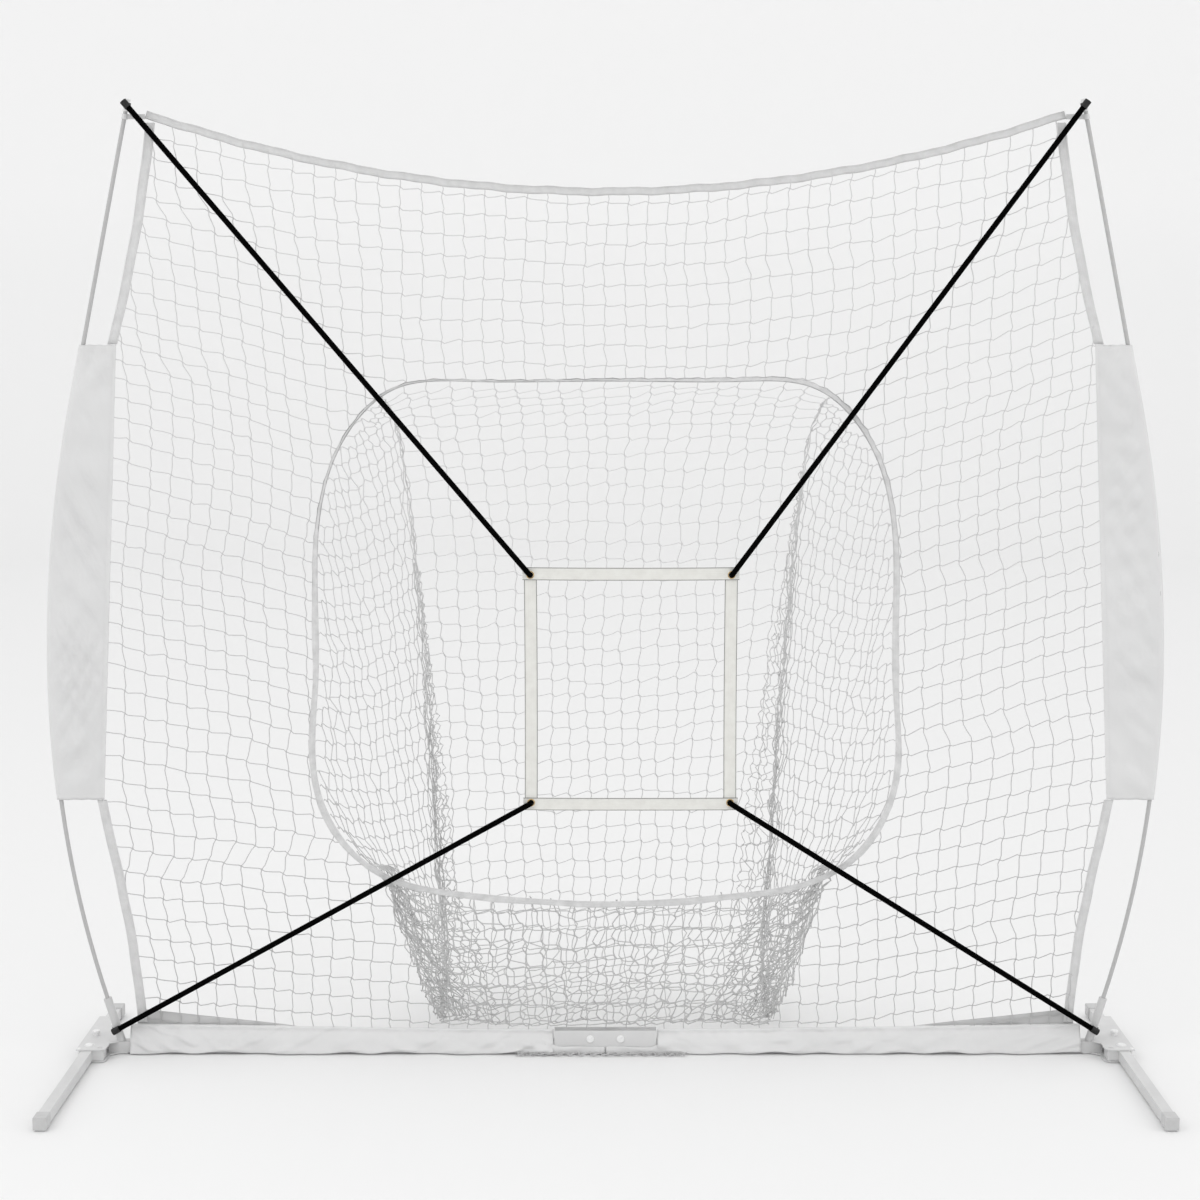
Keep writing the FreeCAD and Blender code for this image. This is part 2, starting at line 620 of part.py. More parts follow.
def net_point(x, z):
    return Vec(x, -NET_T / 2, z)


def back_of(_i, _j):
    return Vec(0, NET_T, 0)


def both_halves(right):
    """Points from the left end to the right end of a line given from its middle to the right."""
    left = [Vec(-p.x, p.y, p.z) for p in right[:0:-1]]
    return left + right


def top_panel():
    """From the top edge down to the opening, between lines that run to the opening's corners."""
    lower = both_halves([net_point(p.x, p.z) for p in rim_points(0, RIM_CORNER, 5)])
    upper = []
    for k in range(len(lower)):
        x = NET_CORNER_X * (2 * k / (len(lower) - 1) - 1)
        upper.append(net_point(x, net_top_z(x)))
    return sheet([upper, lower], back_of)


def side_panel():
    """Between the right side edge and the opening's side."""
    middle = (SLEEVE_TOP_Z + SLEEVE_BOTTOM_Z) / 2
    above = (NET_CORNER_Z + SLEEVE_TOP_Z) / 2
    heights = [NET_CORNER_Z, above, SLEEVE_TOP_Z, (SLEEVE_TOP_Z + middle) / 2, middle,
               (SLEEVE_BOTTOM_Z + middle) / 2, SLEEVE_BOTTOM_Z, NET_BOTTOM_Z]
    outer = [net_point(net_edge_x(z), z) for z in heights]
    inner = [net_point(p.x, p.z) for p in rim_points(RIM_CORNER, RIM_FOOT, len(heights))]
    return sheet([outer, inner], back_of)


def bottom_panel():
    """From the opening's bottom down to the skirt, in front of the pocket."""
    right = rim_points(RIM_FOOT, RIM_END, 5)[::-1]
    upper = both_halves([net_point(p.x, p.z) for p in right])
    lower = []
    for k in range(len(upper)):
        x = NET_FOOT_X * (2 * k / (len(upper) - 1) - 1)
        lower.append(net_point(x, NET_BOTTOM_Z))
    return sheet([upper, lower], back_of)


def ribbon(points, width_at, y0, y1):
    """A flat tape along a line in the net's plane, given by points and the inward width vector."""
    outer = [Vec(x, y0, z) for x, z in points]
    inner = [Vec(x, y0, z) + width_at(k) for k, (x, z) in enumerate(points)]
    return sheet([outer, inner], lambda i, j: Vec(0, y1 - y0, 0))


def tape(points, width):
    """Webbing folded over the net's edge: a front and a back layer."""
    def inward(k):
        return width[k]
    front = ribbon(points, inward, -NET_T / 2 - EDGE_WEB_T / 2, -NET_T / 2)
    back = ribbon(points, inward, NET_T / 2, NET_T / 2 + EDGE_WEB_T / 2)
    return group([front, back])


def top_edge_webbing():
    points = []
    widths = []
    for k in range(-8, 9):
        x = NET_CORNER_X * k / 8
        points.append((x, net_top_z(x)))
        widths.append(Vec(0, 0, -EDGE_WEB))
    return tape(points, widths)


def side_edge_webbing():
    """Two runs, above and below the pole sleeve, which covers the edge between them."""
    start_z = net_top_z(NET_CORNER_X - 2 * EDGE_WEB) - EDGE_WEB
    upper = [(net_edge_x(start_z), start_z), (NET_EDGE_UPPER_X, SLEEVE_TOP_Z + 0.5)]
    lower = [(NET_EDGE_LOWER_X, SLEEVE_BOTTOM_Z - 0.5), (NET_FOOT_X, NET_BOTTOM_Z)]
    pieces = []
    for run in (upper, lower):
        pieces.extend(tape(run, [Vec(-EDGE_WEB, 0, 0)] * 2).Solids)
    return group(pieces)


def rim_binding():
    """Tape round the opening, on the net's front face."""
    right = rim_points(0, RIM_END, 33)
    loop = right + [Vec(-p.x, 0, p.z) for p in right[-2:0:-1]]
    centre = Vec(0, 0, (RIM_TOP_Z + RIM_BOTTOM_Z) / 2)
    y0 = -NET_T / 2 - EDGE_WEB_T / 2
    inner = [Vec(p.x, y0, p.z) for p in loop]
    outer = []
    for p in inner:
        away = Vec(p.x, 0, p.z - centre.z)
        outer.append(Vec(p.x, y0, p.z) + away * (RIM_WEB / away.Length))

    def plate(points):
        face = Part.Face(Part.makePolygon(points + points[:1]))
        return face.extrude(Vec(0, EDGE_WEB_T / 2, 0))

    return plate(outer).cut(plate(inner))


def corner_strap():
    """A strap from the net's top corner to a loop round the pole, just under its cap."""
    around = POLE_R + FIT
    loop_at = POLE.at(POLE_TOP_Z - CAP_LENGTH - STRAP_HEIGHT)[0]
    half = POLE.down_in * (STRAP_HEIGHT / 2)
    loop = rod(around + NET_STRAP_T, loop_at - half, loop_at + half)
    low = loop_at.z - STRAP_HEIGHT / 2
    start_x = net_edge_x(low) + 0.6
    arm = box(start_x, loop_at.x, -NET_STRAP_T / 2, NET_STRAP_T / 2, low, low + STRAP_HEIGHT)
    return arm.fuse(loop).cut(rod(around, loop_at - half * 2, loop_at + half * 2)).removeSplitter()


# ---- ball pocket ---------------------------------------------------------------------------
def pocket_profile():
    """The pocket's back in side view, from the opening's top round to its bottom."""
    depth = POCKET_DEPTH
    floor = POCKET_FLOOR_Z
    return [(4.0, RIM_TOP_Z + 4), (0.45 * depth, RIM_TOP_Z - 130), (0.8 * depth, 1000.0),
            (depth, 420.0), (0.97 * depth, floor + 90), (0.8 * depth, floor + 12),
            (0.5 * depth, floor), (0.22 * depth, floor + 22), (20.0, RIM_BOTTOM_Z - 30)]


def pocket_half_width(index):
    """Half width of the pocket's back at each profile point: narrow behind, wide at the opening."""
    back = POCKET_BACK_HALF
    return (RIM_TOP_HALF, back + 60, back + 15, back, back, back, back, back, back)[index]


def pocket_strip(first, last, out):
    grid = []
    profile = pocket_profile()
    for index in range(first, last + 1):
        y, z = profile[index]
        half = pocket_half_width(index)
        grid.append([Vec(x * half, y, z) for x in (-1, -0.5, 0, 0.5, 1)])
    return sheet(grid, lambda i, j: out(first + i))


def outward(index):
    """The direction square to the profile, away from the pocket's inside."""
    profile = pocket_profile()
    before = profile[max(index - 1, 0)]
    after = profile[min(index + 1, len(profile) - 1)]
    dy = after[0] - before[0]
    dz = after[1] - before[1]
    length = math.hypot(dy, dz)
    return Vec(0, -dz / length * NET_T, dy / length * NET_T)


def pocket_back():
    return pocket_strip(0, 4, outward)


def pocket_floor():
    return pocket_strip(4, 8, outward)


def pocket_side():
    """From the opening's right side back to the edge of the pocket's back."""
    profile = pocket_profile()
    rim = rim_points(RIM_CORNER, RIM_FOOT, 7) + [Vec(POCKET_BACK_HALF, 0, RIM_BOTTOM_Z + 40)]
    back = []
    for k in (0, 0.5, 1, 1.5, 2, 3, 4, 6):
        low = int(k)
        high = min(low + 1, len(profile) - 1)
        share = k - low
        y = profile[low][0] * (1 - share) + profile[high][0] * share
        z = profile[low][1] * (1 - share) + profile[high][1] * share
        half = pocket_half_width(low) * (1 - share) + pocket_half_width(high) * share
        back.append(Vec(half + 1.5, y + 0.5, z))
    front = [Vec(p.x - 2, NET_T / 2 + 1.5, p.z) for p in rim]
    middle = [(a + b) * 0.5 for a, b in zip(front, back)]
    return sheet([front, middle, back], lambda i, j: Vec(NET_T, 0, 0))


# ---- fabric --------------------------------------------------------------------------------
def pole_sleeve():
    """A flat fabric tube: the pole runs inside its outer edge, the net is sewn to the inner."""
    heights = [SLEEVE_BOTTOM_Z + (SLEEVE_TOP_Z - SLEEVE_BOTTOM_Z) * k / 12 for k in range(13)]
    outer = [(POLE.at(z)[0].x + SLEEVE_MARGIN + FIT, z) for z in heights]
    inner = [(net_edge_x(z) + 0.6, z) for z in heights]
    half = SLEEVE_HALF_GAP + SLEEVE_WALL

    def slab(inset, thick, over):
        right = [(x - inset, z) for x, z in outer]
        left = [(x + inset, z) for x, z in inner]
        right = [(right[0][0], right[0][1] - over)] + right[1:-1] + [(right[-1][0], right[-1][1] + over)]
        left = [(left[0][0], left[0][1] - over)] + left[1:-1] + [(left[-1][0], left[-1][1] + over)]
        loop = right + left[::-1]
        points = [Vec(x, -thick, z) for x, z in loop]
        return Part.Face(Part.makePolygon(points + points[:1])).extrude(Vec(0, 2 * thick, 0))

    return slab(0, half, 0).cut(slab(SLEEVE_WALL, SLEEVE_HALF_GAP, 5))


def base_skirt():
    """A fabric sleeve round the base tube, drawn together above it where the net is sewn in."""
    gap = SKIRT_HALF_GAP
    outer = gap + SKIRT_T
    low = SKIRT_GROUND_GAP
    outline = [(-outer, low), (outer, low), (outer, TUBE_TOP_Z + 8), (3.0, SKIRT_TOP_Z),
               (-3.0, SKIRT_TOP_Z), (-outer, TUBE_TOP_Z + 8)]
    room = [(-gap, low + SKIRT_T), (gap, low + SKIRT_T), (gap, TUBE_TOP_Z + 7.5),
            (1.0, SKIRT_TOP_Z - 4), (-1.0, SKIRT_TOP_Z - 4), (-gap, TUBE_TOP_Z + 7.5)]

    def sleeve(points, x0, x1):
        loop = [Vec(x0, y, z) for y, z in points]
        return Part.Face(Part.makePolygon(loop + loop[:1])).extrude(Vec(x1 - x0, 0, 0))

    return sleeve(outline, SKIRT_INNER_X, SKIRT_END_X).cut(sleeve(room, SKIRT_INNER_X - 1, SKIRT_END_X + 1))


# ---- target --------------------------------------------------------------------------------
TARGET_LEFT = TARGET_SHIFT_X - TARGET_WIDTH / 2
TARGET_RIGHT = TARGET_SHIFT_X + TARGET_WIDTH / 2
TARGET_LOW = TARGET_Z - TARGET_HEIGHT / 2
TARGET_HIGH = TARGET_Z + TARGET_HEIGHT / 2


def grommet_places():
    places = {}
    for up, z in (("top", TARGET_HIGH - GROMMET_INSET_Z), ("bottom", TARGET_LOW + GROMMET_INSET_Z)):
        for side, x in (("left", TARGET_LEFT + GROMMET_INSET_X), ("right", TARGET_RIGHT - GROMMET_INSET_X)):
            places[up + "_" + side] = Vec(x, TARGET_Y, z)
    return places


def punched(strap):
    for place in grommet_places().values():
        reach = Vec(0, STRAP_T * 3, 0)
        strap = strap.cut(rod(GROMMET_BORE + 1.0, place - reach, place + reach))
    return strap


def level_strap(low):
    """A top or bottom strap, in front of the side straps at the corners."""
    return punched(box(TARGET_LEFT, TARGET_RIGHT, TARGET_Y - STRAP_T, TARGET_Y, low, low + STRAP_WIDTH))


def side_strap(left):
    low = TARGET_LOW + SIDE_STRAP_SHORT
    high = TARGET_HIGH - SIDE_STRAP_SHORT
    return punched(box(left, left + STRAP_WIDTH, TARGET_Y, TARGET_Y + STRAP_T, low, high))


def grommet(place):
    """A rolled brass ring that pins both straps, with a lip on each face."""
    thick = Vec(0, STRAP_T, 0)
    lip = Vec(0, GROMMET_LIP, 0)
    barrel = rod(GROMMET_BORE + 1.0, place - thick, place + thick)
    front = rod(GROMMET_R, place - thick - lip, place - thick)
    back = rod(GROMMET_R, place + thick, place + thick + lip)
    ring = barrel.fuse([front, back])
    return ring.cut(rod(GROMMET_BORE, place - thick * 4, place + thick * 4))


def elbow_centre(place):
    """Where a cord turns from the grommet's bore to run along the target's front."""
    return place - Vec(0, STRAP_T + GROMMET_LIP + ELBOW_R + FIT, 0)


def cord_knot(place):
    """A stop knot behind the grommet, the cord's last part in the bore and its turn in front."""
    back = place + Vec(0, STRAP_T + GROMMET_LIP + FIT + KNOT_R, 0)
    ball = Part.makeSphere(KNOT_R, back)
    elbow = Part.makeSphere(ELBOW_R, elbow_centre(place))
    return ball.fuse([rod(CORD_R, elbow_centre(place), back), elbow]).removeSplitter()


# ---- cords and their clips -----------------------------------------------------------------
def clip_line(name):
    """Where a cord meets its knot and its clip: both ends of the straight cord."""
    elbow = elbow_centre(grommet_places()[name])
    side = 1 if name.endswith("right") else -1
    if name.startswith("top"):
        held, direction = POLE.at(POLE_TOP_Z - TOP_CLIP_BELOW_TIP)
        radius = CAP_R
    else:
        held, direction = POLE.at(LOW_CLIP_Z)
        radius = SOCKET_R
    front = held + Vec(0, -(radius + FIT + CLIP_BARREL_R), 0)
    centre = Vec(side * front.x, front.y, front.z)
    held = Vec(side * held.x, held.y, held.z)
    direction = Vec(side * direction.x, direction.y, direction.z)
    toward = elbow - centre
    toward.normalize()
    start = elbow - toward * (ELBOW_R + 0.1)
    return start, centre, toward, held, direction, radius


def cord(name):
    start, centre, toward, _held, _direction, _radius = clip_line(name)
    end = centre + toward * (CLIP_BARREL / 2)
    run = rod(CORD_R, start, end)
    print(name, "length", round((end - start).Length, 1), "straight, no arcs")
    return run


def cord_clip(name):
    """A ring round the pole or socket with a barrel that takes the cord's end."""
    _start, centre, toward, held, direction, radius = clip_line(name)
    inner = radius + CLIP_RUNNING
    ring = rod(inner + CLIP_WALL, held - direction * CLIP_HEIGHT / 2, held + direction * CLIP_HEIGHT / 2)
    barrel = rod(CLIP_BARREL_R, centre - toward * (CLIP_BARREL / 2), centre + toward * (CLIP_BARREL / 2))
    bore = rod(inner, held - direction * CLIP_BARREL * 2, held + direction * CLIP_BARREL * 2)
    return ring.fuse(barrel).cut(bore).removeSplitter()


# ---- all pieces ----------------------------------------------------------------------------
def both_sides(name, shape):
    """A right-hand piece and its mirror image."""
    return {"right_" + name: shape, "left_" + name: mirrored(shape)}


def pair(shape):
    return group([shape, mirrored(shape)])


def pieces():
    nodes = {}
    nodes.update(both_sides("base_tube", base_tube()))
    nodes["hinge_channel"] = hinge_channel()
    nodes["hinge_lugs"] = pair(hinge_lug())
    nodes["hinge_bolts"] = group([hinge_bolt(-HINGE_BOLT_X), hinge_bolt(HINGE_BOLT_X)])
    nodes.update(both_sides("corner_top_plate", corner_top_plate()))
    nodes.update(both_sides("corner_bottom_plate", corner_bottom_plate()))
    rivets = [rivet(x, y) for x, y in rivet_places()]
    nodes["corner_rivets"] = group(rivets + [mirrored(one) for one in rivets])
    nodes["leg_pivot_bolts"] = pair(pivot_bolt())
    nodes.update(both_sides("pole_socket", pole_socket()))
    nodes.update(both_sides("lower_pole", lower_pole()))
    nodes.update(both_sides("upper_pole", upper_pole()))
    nodes["pole_ferrules"] = pair(ferrule())
    nodes["pole_tip_caps"] = pair(tip_cap())
    nodes["net_top_panel"] = top_panel()
    nodes["net_right_panel"] = side_panel()
    nodes["net_left_panel"] = mirrored(side_panel())
    nodes["net_bottom_panel"] = bottom_panel()
    nodes["pocket_back"] = pocket_back()
    nodes["pocket_floor"] = pocket_floor()
    nodes["pocket_right_side"] = pocket_side()
    nodes["pocket_left_side"] = mirrored(pocket_side())
    nodes["pocket_rim_binding"] = rim_binding()
    nodes["top_edge_webbing"] = top_edge_webbing()
    nodes.update(both_sides("edge_webbing", side_edge_webbing()))
    nodes["net_corner_straps"] = pair(corner_strap())
    nodes.update(both_sides("pole_sleeve", pole_sleeve()))
    nodes.update(both_sides("base_skirt", base_skirt()))
    nodes["target_top_strap"] = level_strap(TARGET_HIGH - STRAP_WIDTH)
    nodes["target_bottom_strap"] = level_strap(TARGET_LOW)
    nodes["target_left_strap"] = side_strap(TARGET_LEFT + SIDE_STRAP_IN)
    nodes["target_right_strap"] = side_strap(TARGET_RIGHT - SIDE_STRAP_IN - STRAP_WIDTH)
    nodes["target_grommets"] = group([grommet(p) for p in grommet_places().values()])
    nodes["target_cord_knots"] = group([cord_knot(p) for p in grommet_places().values()])
    for name in grommet_places():
        nodes[name + "_cord"] = cord(name)
        nodes[name + "_cord_clip"] = cord_clip(name)
    nodes.update(both_sides("leg_tube", leg_tube()))
    nodes.update(both_sides("leg_stop_block", leg_stop_block()))
    nodes.update(both_sides("leg_feet", leg_feet()))
    nodes.update(both_sides("lock_plunger", lock_plunger()))
    nodes["plunger_collars"] = pair(plunger_collar())
    return nodes


def main():
    os.makedirs("parts", exist_ok=True)
    for name, shape in pieces().items():
        if not shape.isValid():
            raise ValueError(name + " is not a valid shape")
        shape.exportStep("parts/" + name + ".step")
        print(name, len(shape.Solids), "solids", round(shape.Volume / 1000, 2), "cm3")


main()
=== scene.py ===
import math

import bmesh
import bpy
import numpy as np
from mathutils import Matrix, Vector


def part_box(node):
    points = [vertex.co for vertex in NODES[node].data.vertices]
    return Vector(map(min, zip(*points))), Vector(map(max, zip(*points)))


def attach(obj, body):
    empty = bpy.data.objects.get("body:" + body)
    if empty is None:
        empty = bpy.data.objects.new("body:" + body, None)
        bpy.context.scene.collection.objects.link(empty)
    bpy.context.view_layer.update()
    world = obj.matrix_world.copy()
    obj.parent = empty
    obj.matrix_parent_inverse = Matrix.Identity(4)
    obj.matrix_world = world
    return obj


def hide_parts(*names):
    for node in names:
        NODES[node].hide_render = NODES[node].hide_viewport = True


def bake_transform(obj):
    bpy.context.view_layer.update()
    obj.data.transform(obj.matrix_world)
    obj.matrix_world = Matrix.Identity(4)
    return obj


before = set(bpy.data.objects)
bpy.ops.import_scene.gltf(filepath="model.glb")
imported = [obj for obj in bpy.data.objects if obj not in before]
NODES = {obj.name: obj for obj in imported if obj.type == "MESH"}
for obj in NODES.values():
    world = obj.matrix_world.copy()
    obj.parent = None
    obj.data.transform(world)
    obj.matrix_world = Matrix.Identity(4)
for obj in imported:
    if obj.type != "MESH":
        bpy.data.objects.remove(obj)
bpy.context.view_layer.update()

scene = bpy.context.scene
scene.view_settings.view_transform = "Standard"
random = np.random.default_rng(20)

# ---- camera --------------------------------------------------------------------------------
camera_data = bpy.data.cameras.new("camera")
camera_data.sensor_width = 36.0
camera_data.lens = 66.99
camera = bpy.data.objects.new("camera", camera_data)
camera.location = (-0.0124, -5.0, 1.7)
camera_aim = Vector((-0.0124, 0.0, 1.0568))
camera.rotation_euler = (camera_aim - camera.location).to_track_quat("-Z", "Y").to_euler()
scene.collection.objects.link(camera)
scene.camera = camera

# ---- sizes shared with the CAD, in metres --------------------------------------------------
POLE_FOOT = Vector((1.120, 0.0, 0.029))
POLE_LEAN = math.radians(16.6)
POLE_WIDEST_Z = 0.860
POLE_UPPER_RADIUS = 3.100
POLE_TOP_LEAN = math.radians(12.0)
POLE_TOP_Z = 2.164
SOCKET_TOP_Z = 0.130
SOCKET_R = 0.0095
CAP_R = 0.0065
SLEEVE_LOW = 0.598
SLEEVE_HIGH = 1.629
NET_BOTTOM_Z = 0.072
NET_FOOT_X = 1.098
NET_TOP_SAG = 0.167
MESH = 0.0445
RIM = [(0, 1.548), (0.301, 1.547), (0.470, 1.530), (0.570, 1.440), (0.650, 0.880), (0.645, 0.600),
       (0.537, 0.445), (0.301, 0.379), (0, 0.360)]
POCKET_DEPTH = 0.5056
STRAP = 0.029
STRAP_T = 0.0026
TARGET_Y = -0.022
GROMMET_INSET = 0.0175
GROMMET_LIP = 0.001
ELBOW_R = 0.00685
CORD_R = 0.00635
FIT = 0.0003
CLIP_BARREL_R = 0.0078
CLIP_BARREL = 0.018

# ---- sizes of the visual model's own pieces, in metres -------------------------------------
GROMMET_BORE = 0.0067
GROMMET_EDGE = 0.0086
TWINE_R = 0.00135
TWINE_KNOT_R = 0.0022
POCKET_TWINE_R = 0.0014
POCKET_KNOT_R = 0.0023
TOP_TAPE_WIDTH = 0.018
SIDE_TAPE_WIDTH = 0.022
TAPE_T = 0.0038
SLEEVE_T = 0.0008
SKIRT_T = 0.0009
SKIRT_START_X = 0.1200
SKIRT_END_X = 1.0975


def pole_at(z):
    """The right pole's centre line at a height, and its direction there."""
    sine, cosine = math.sin(POLE_LEAN), math.cos(POLE_LEAN)
    if z <= SOCKET_TOP_Z:
        up = Vector((sine, 0, cosine))
        return POLE_FOOT + up * ((z - POLE_FOOT.z) / cosine), up
    bend_x = POLE_FOOT.x + (SOCKET_TOP_Z - POLE_FOOT.z) * sine / cosine
    lower_radius = (POLE_WIDEST_Z - SOCKET_TOP_Z) / sine
    widest = bend_x + lower_radius * (1 - cosine)
    top_bend_z = POLE_WIDEST_Z + POLE_UPPER_RADIUS * math.sin(POLE_TOP_LEAN)
    if z > top_bend_z:
        x = widest - POLE_UPPER_RADIUS * (1 - math.cos(POLE_TOP_LEAN))
        inward = Vector((-math.sin(POLE_TOP_LEAN), 0, math.cos(POLE_TOP_LEAN)))
        return Vector((x, 0, top_bend_z)) + inward * ((z - top_bend_z) / inward.z), inward
    radius = lower_radius if z <= POLE_WIDEST_Z else POLE_UPPER_RADIUS
    rise = z - POLE_WIDEST_Z
    across = math.sqrt(radius ** 2 - rise ** 2)
    return Vector((widest - radius + across, 0, z)), Vector((-rise / radius, 0, across / radius))


NET_CORNER_X = pole_at(POLE_TOP_Z)[0].x - 0.041
NET_CORNER_Z = POLE_TOP_Z - 0.022
EDGE_HEIGHTS = (NET_BOTTOM_Z, SLEEVE_LOW, SLEEVE_HIGH, NET_CORNER_Z)
EDGE_HALVES = (NET_FOOT_X, pole_at(SLEEVE_LOW)[0].x - 0.100, pole_at(SLEEVE_HIGH)[0].x - 0.074, NET_CORNER_X)
LOW_TAPE = ((0.06, 0.12, 0.18, 0.25, 0.32, 0.40, 0.48, 0.54, SLEEVE_LOW),
            (1.0800, 1.0850, 1.0905, 1.0985, 1.1085, 1.1225, 1.1385, 1.1500, EDGE_HALVES[1] + 0.018))


def net_edge_x(z):
    return float(np.interp(z, EDGE_HEIGHTS, EDGE_HALVES))


def tape_outer_x(z):
    """The outer edge of the side tape, which runs in behind the sleeve's ends."""
    if z > SLEEVE_HIGH:
        share = (z - SLEEVE_HIGH) / (NET_CORNER_Z - SLEEVE_HIGH)
        return net_edge_x(z) + 0.020 * (1 - share) - 0.010 * math.sin(math.pi * share)
    if z < SLEEVE_LOW:
        return float(np.interp(z, LOW_TAPE[0], LOW_TAPE[1]))
    return net_edge_x(z) + 0.020


def net_top_z(x):
    return NET_CORNER_Z - NET_TOP_SAG * (1 - (x / NET_CORNER_X) ** 2)


# ---- meshes --------------------------------------------------------------------------------
def new_object(name, mesh):
    made = bpy.data.objects.new(name, mesh)
    scene.collection.objects.link(made)
    return made


def mesh_of(name, points, faces, uvs=None):
    """A smooth-shaded mesh from points and faces; uvs gives one pair for each point."""
    mesh = bpy.data.meshes.new(name)
    mesh.from_pydata([tuple(p) for p in points], [], faces)
    if uvs is not None:
        layer = mesh.uv_layers.new(name="UVMap")
        corners = np.zeros(len(mesh.loops), int)
        mesh.loops.foreach_get("vertex_index", corners)
        layer.data.foreach_set("uv", np.array(uvs, np.float32)[corners].ravel())
    mesh.polygons.foreach_set("use_smooth", [True] * len(mesh.polygons))
    mesh.update()
    return mesh


def joined(name, parts):
    """One object from (mesh, material) pairs, with a material slot for each material."""
    whole = bmesh.new()
    materials = []
    for mesh, material in parts:
        if material not in materials:
            materials.append(material)
        index = materials.index(material)
        before = len(whole.faces)
        whole.from_mesh(mesh)
        whole.faces.ensure_lookup_table()
        for face in whole.faces[before:]:
            face.material_index = index
    mesh = bpy.data.meshes.new(name)
    whole.to_mesh(mesh)
    whole.free()
    for material in materials:
        mesh.materials.append(material)
    return new_object(name, mesh)


def facing_out(mesh):
    """The same mesh with its faces turned outward."""
    work = bmesh.new()
    work.from_mesh(mesh)
    bmesh.ops.recalc_face_normals(work, faces=work.faces)
    work.to_mesh(mesh)
    work.free()
    return mesh


def spline(points, count, start=None, end=None):
    """Points of a smooth curve through the given ones, with its end tangents if they are given."""
    p = np.array(points, float)
    steps = np.linalg.norm(np.diff(p, axis=0), axis=1)
    t = np.concatenate([[0], np.cumsum(steps)])
    n = len(p)
    system = np.zeros((n, n))
    wanted = np.zeros_like(p)
    for i in range(1, n - 1):
        system[i, i - 1:i + 2] = steps[i], 2 * (steps[i - 1] + steps[i]), steps[i - 1]
        before = (p[i] - p[i - 1]) / steps[i - 1]
        after = (p[i + 1] - p[i]) / steps[i]
        wanted[i] = 3 * (steps[i] * before + steps[i - 1] * after)
    for row, near, tangent, chord in ((0, 1, start, (p[1] - p[0]) / steps[0]),
                                      (n - 1, n - 2, end, (p[-1] - p[-2]) / steps[-1])):
        system[row, row] = 1 if tangent is not None else 2
        system[row, near] = 0 if tangent is not None else 1
        wanted[row] = tangent if tangent is not None else 3 * chord
    slopes = np.linalg.solve(system, wanted)
    at = np.linspace(0, t[-1], count)
    k = np.clip(np.searchsorted(t, at, side="right") - 1, 0, n - 2)
    h = steps[k][:, None]
    s = ((at - t[k]) / steps[k])[:, None]
    return (p[k] * (2 * s ** 3 - 3 * s ** 2 + 1) + slopes[k] * h * (s ** 3 - 2 * s ** 2 + s)
            + p[k + 1] * (3 * s ** 2 - 2 * s ** 3) + slopes[k + 1] * h * (s ** 3 - s ** 2))


def sweep(name, line, across, normal, section):
    """A closed bar: a section, given as (across, normal) offsets, carried along a line."""
    line, across, normal = (np.array(a, float) for a in (line, across, normal))
    section = np.array(section, float)
    n, m = len(line), len(section)
    points = (line[:, None] + across[:, None] * section[None, :, :1] + normal[:, None] * section[None, :, 1:])
    points = points.reshape(-1, 3)
    along = np.concatenate([[0], np.cumsum(np.linalg.norm(np.diff(line, axis=0), axis=1))])
    uvs = [(along[i], section[j][0]) for i in range(n) for j in range(m)]
    faces = []
    for i in range(n - 1):
        for j in range(m):
            k = (j + 1) % m
            faces.append((i * m + j, i * m + k, (i + 1) * m + k, (i + 1) * m + j))
    faces.append(tuple(range(m)))
    faces.append(tuple(range((n - 1) * m, n * m))[::-1])
    return facing_out(mesh_of(name, points, faces, uvs))


def tape_section(width, thick, bulge=0.0):
    """A flat section with rounded edges, centred, slightly thicker along both selvedges."""
    half, deep = width / 2, thick / 2
    upper = [(-half, 0), (-half + deep * 0.4, deep * 0.7), (-half + deep, deep), (-half + width * 0.09, deep),
             (-half + width * 0.12, deep - bulge), (0, deep - bulge), (half - width * 0.12, deep - bulge),
             (half - width * 0.09, deep), (half - deep, deep), (half - deep * 0.4, deep * 0.7)]
    return upper + [(-x, -y) for x, y in upper]


def tube(name, line, radius, sides):
    """A round closed bar along a line, with turns around it in u and metres along it in v."""
    line = np.array(line, float)
    tangents = np.gradient(line, axis=0)
    tangents /= np.linalg.norm(tangents, axis=1)[:, None]
    first = np.cross(tangents[0], (0.3, 0.5, 0.8))
    first /= np.linalg.norm(first)
    along = np.concatenate([[0], np.cumsum(np.linalg.norm(np.diff(line, axis=0), axis=1))])
    points, uvs, faces = [], [], []
    ring = sides + 1
    for i, tangent in enumerate(tangents):
        first = first - tangent * np.dot(first, tangent)
        first /= np.linalg.norm(first)
        second = np.cross(tangent, first)
        for j in range(ring):
            turn = 2 * math.pi * (j % sides) / sides
            points.append(line[i] + (first * math.cos(turn) + second * math.sin(turn)) * radius)
            uvs.append((j / sides, along[i]))
    for i in range(len(line) - 1):
        for j in range(sides):
            a = i * ring + j
            faces.append((a, a + 1, a + ring + 1, a + ring))
    last = (len(line) - 1) * ring
    faces.append(tuple(range(sides))[::-1])
    faces.append(tuple(range(last, last + sides)))
    mesh = mesh_of(name, points, faces, uvs)
    work = bmesh.new()
    work.from_mesh(mesh)
    bmesh.ops.remove_doubles(work, verts=work.verts, dist=1e-7)
    work.to_mesh(mesh)
    work.free()
    return mesh


# ---- materials -----------------------------------------------------------------------------
def linear(tone):
    """A display tone from 0 to 255 as linear light."""
    value = tone / 255
    return value / 12.92 if value <= 0.04045 else ((value + 0.055) / 1.055) ** 2.4


def tones(*values):
    if len(values) == 1:
        values = values * 3
    return [linear(v) for v in values]


def add(nodes, kind, **settings):
    node = nodes.new(kind)
    for key, value in settings.items():
        if hasattr(node, key):
            setattr(node, key, value)
        else:
            node.inputs[key].default_value = value
    return node


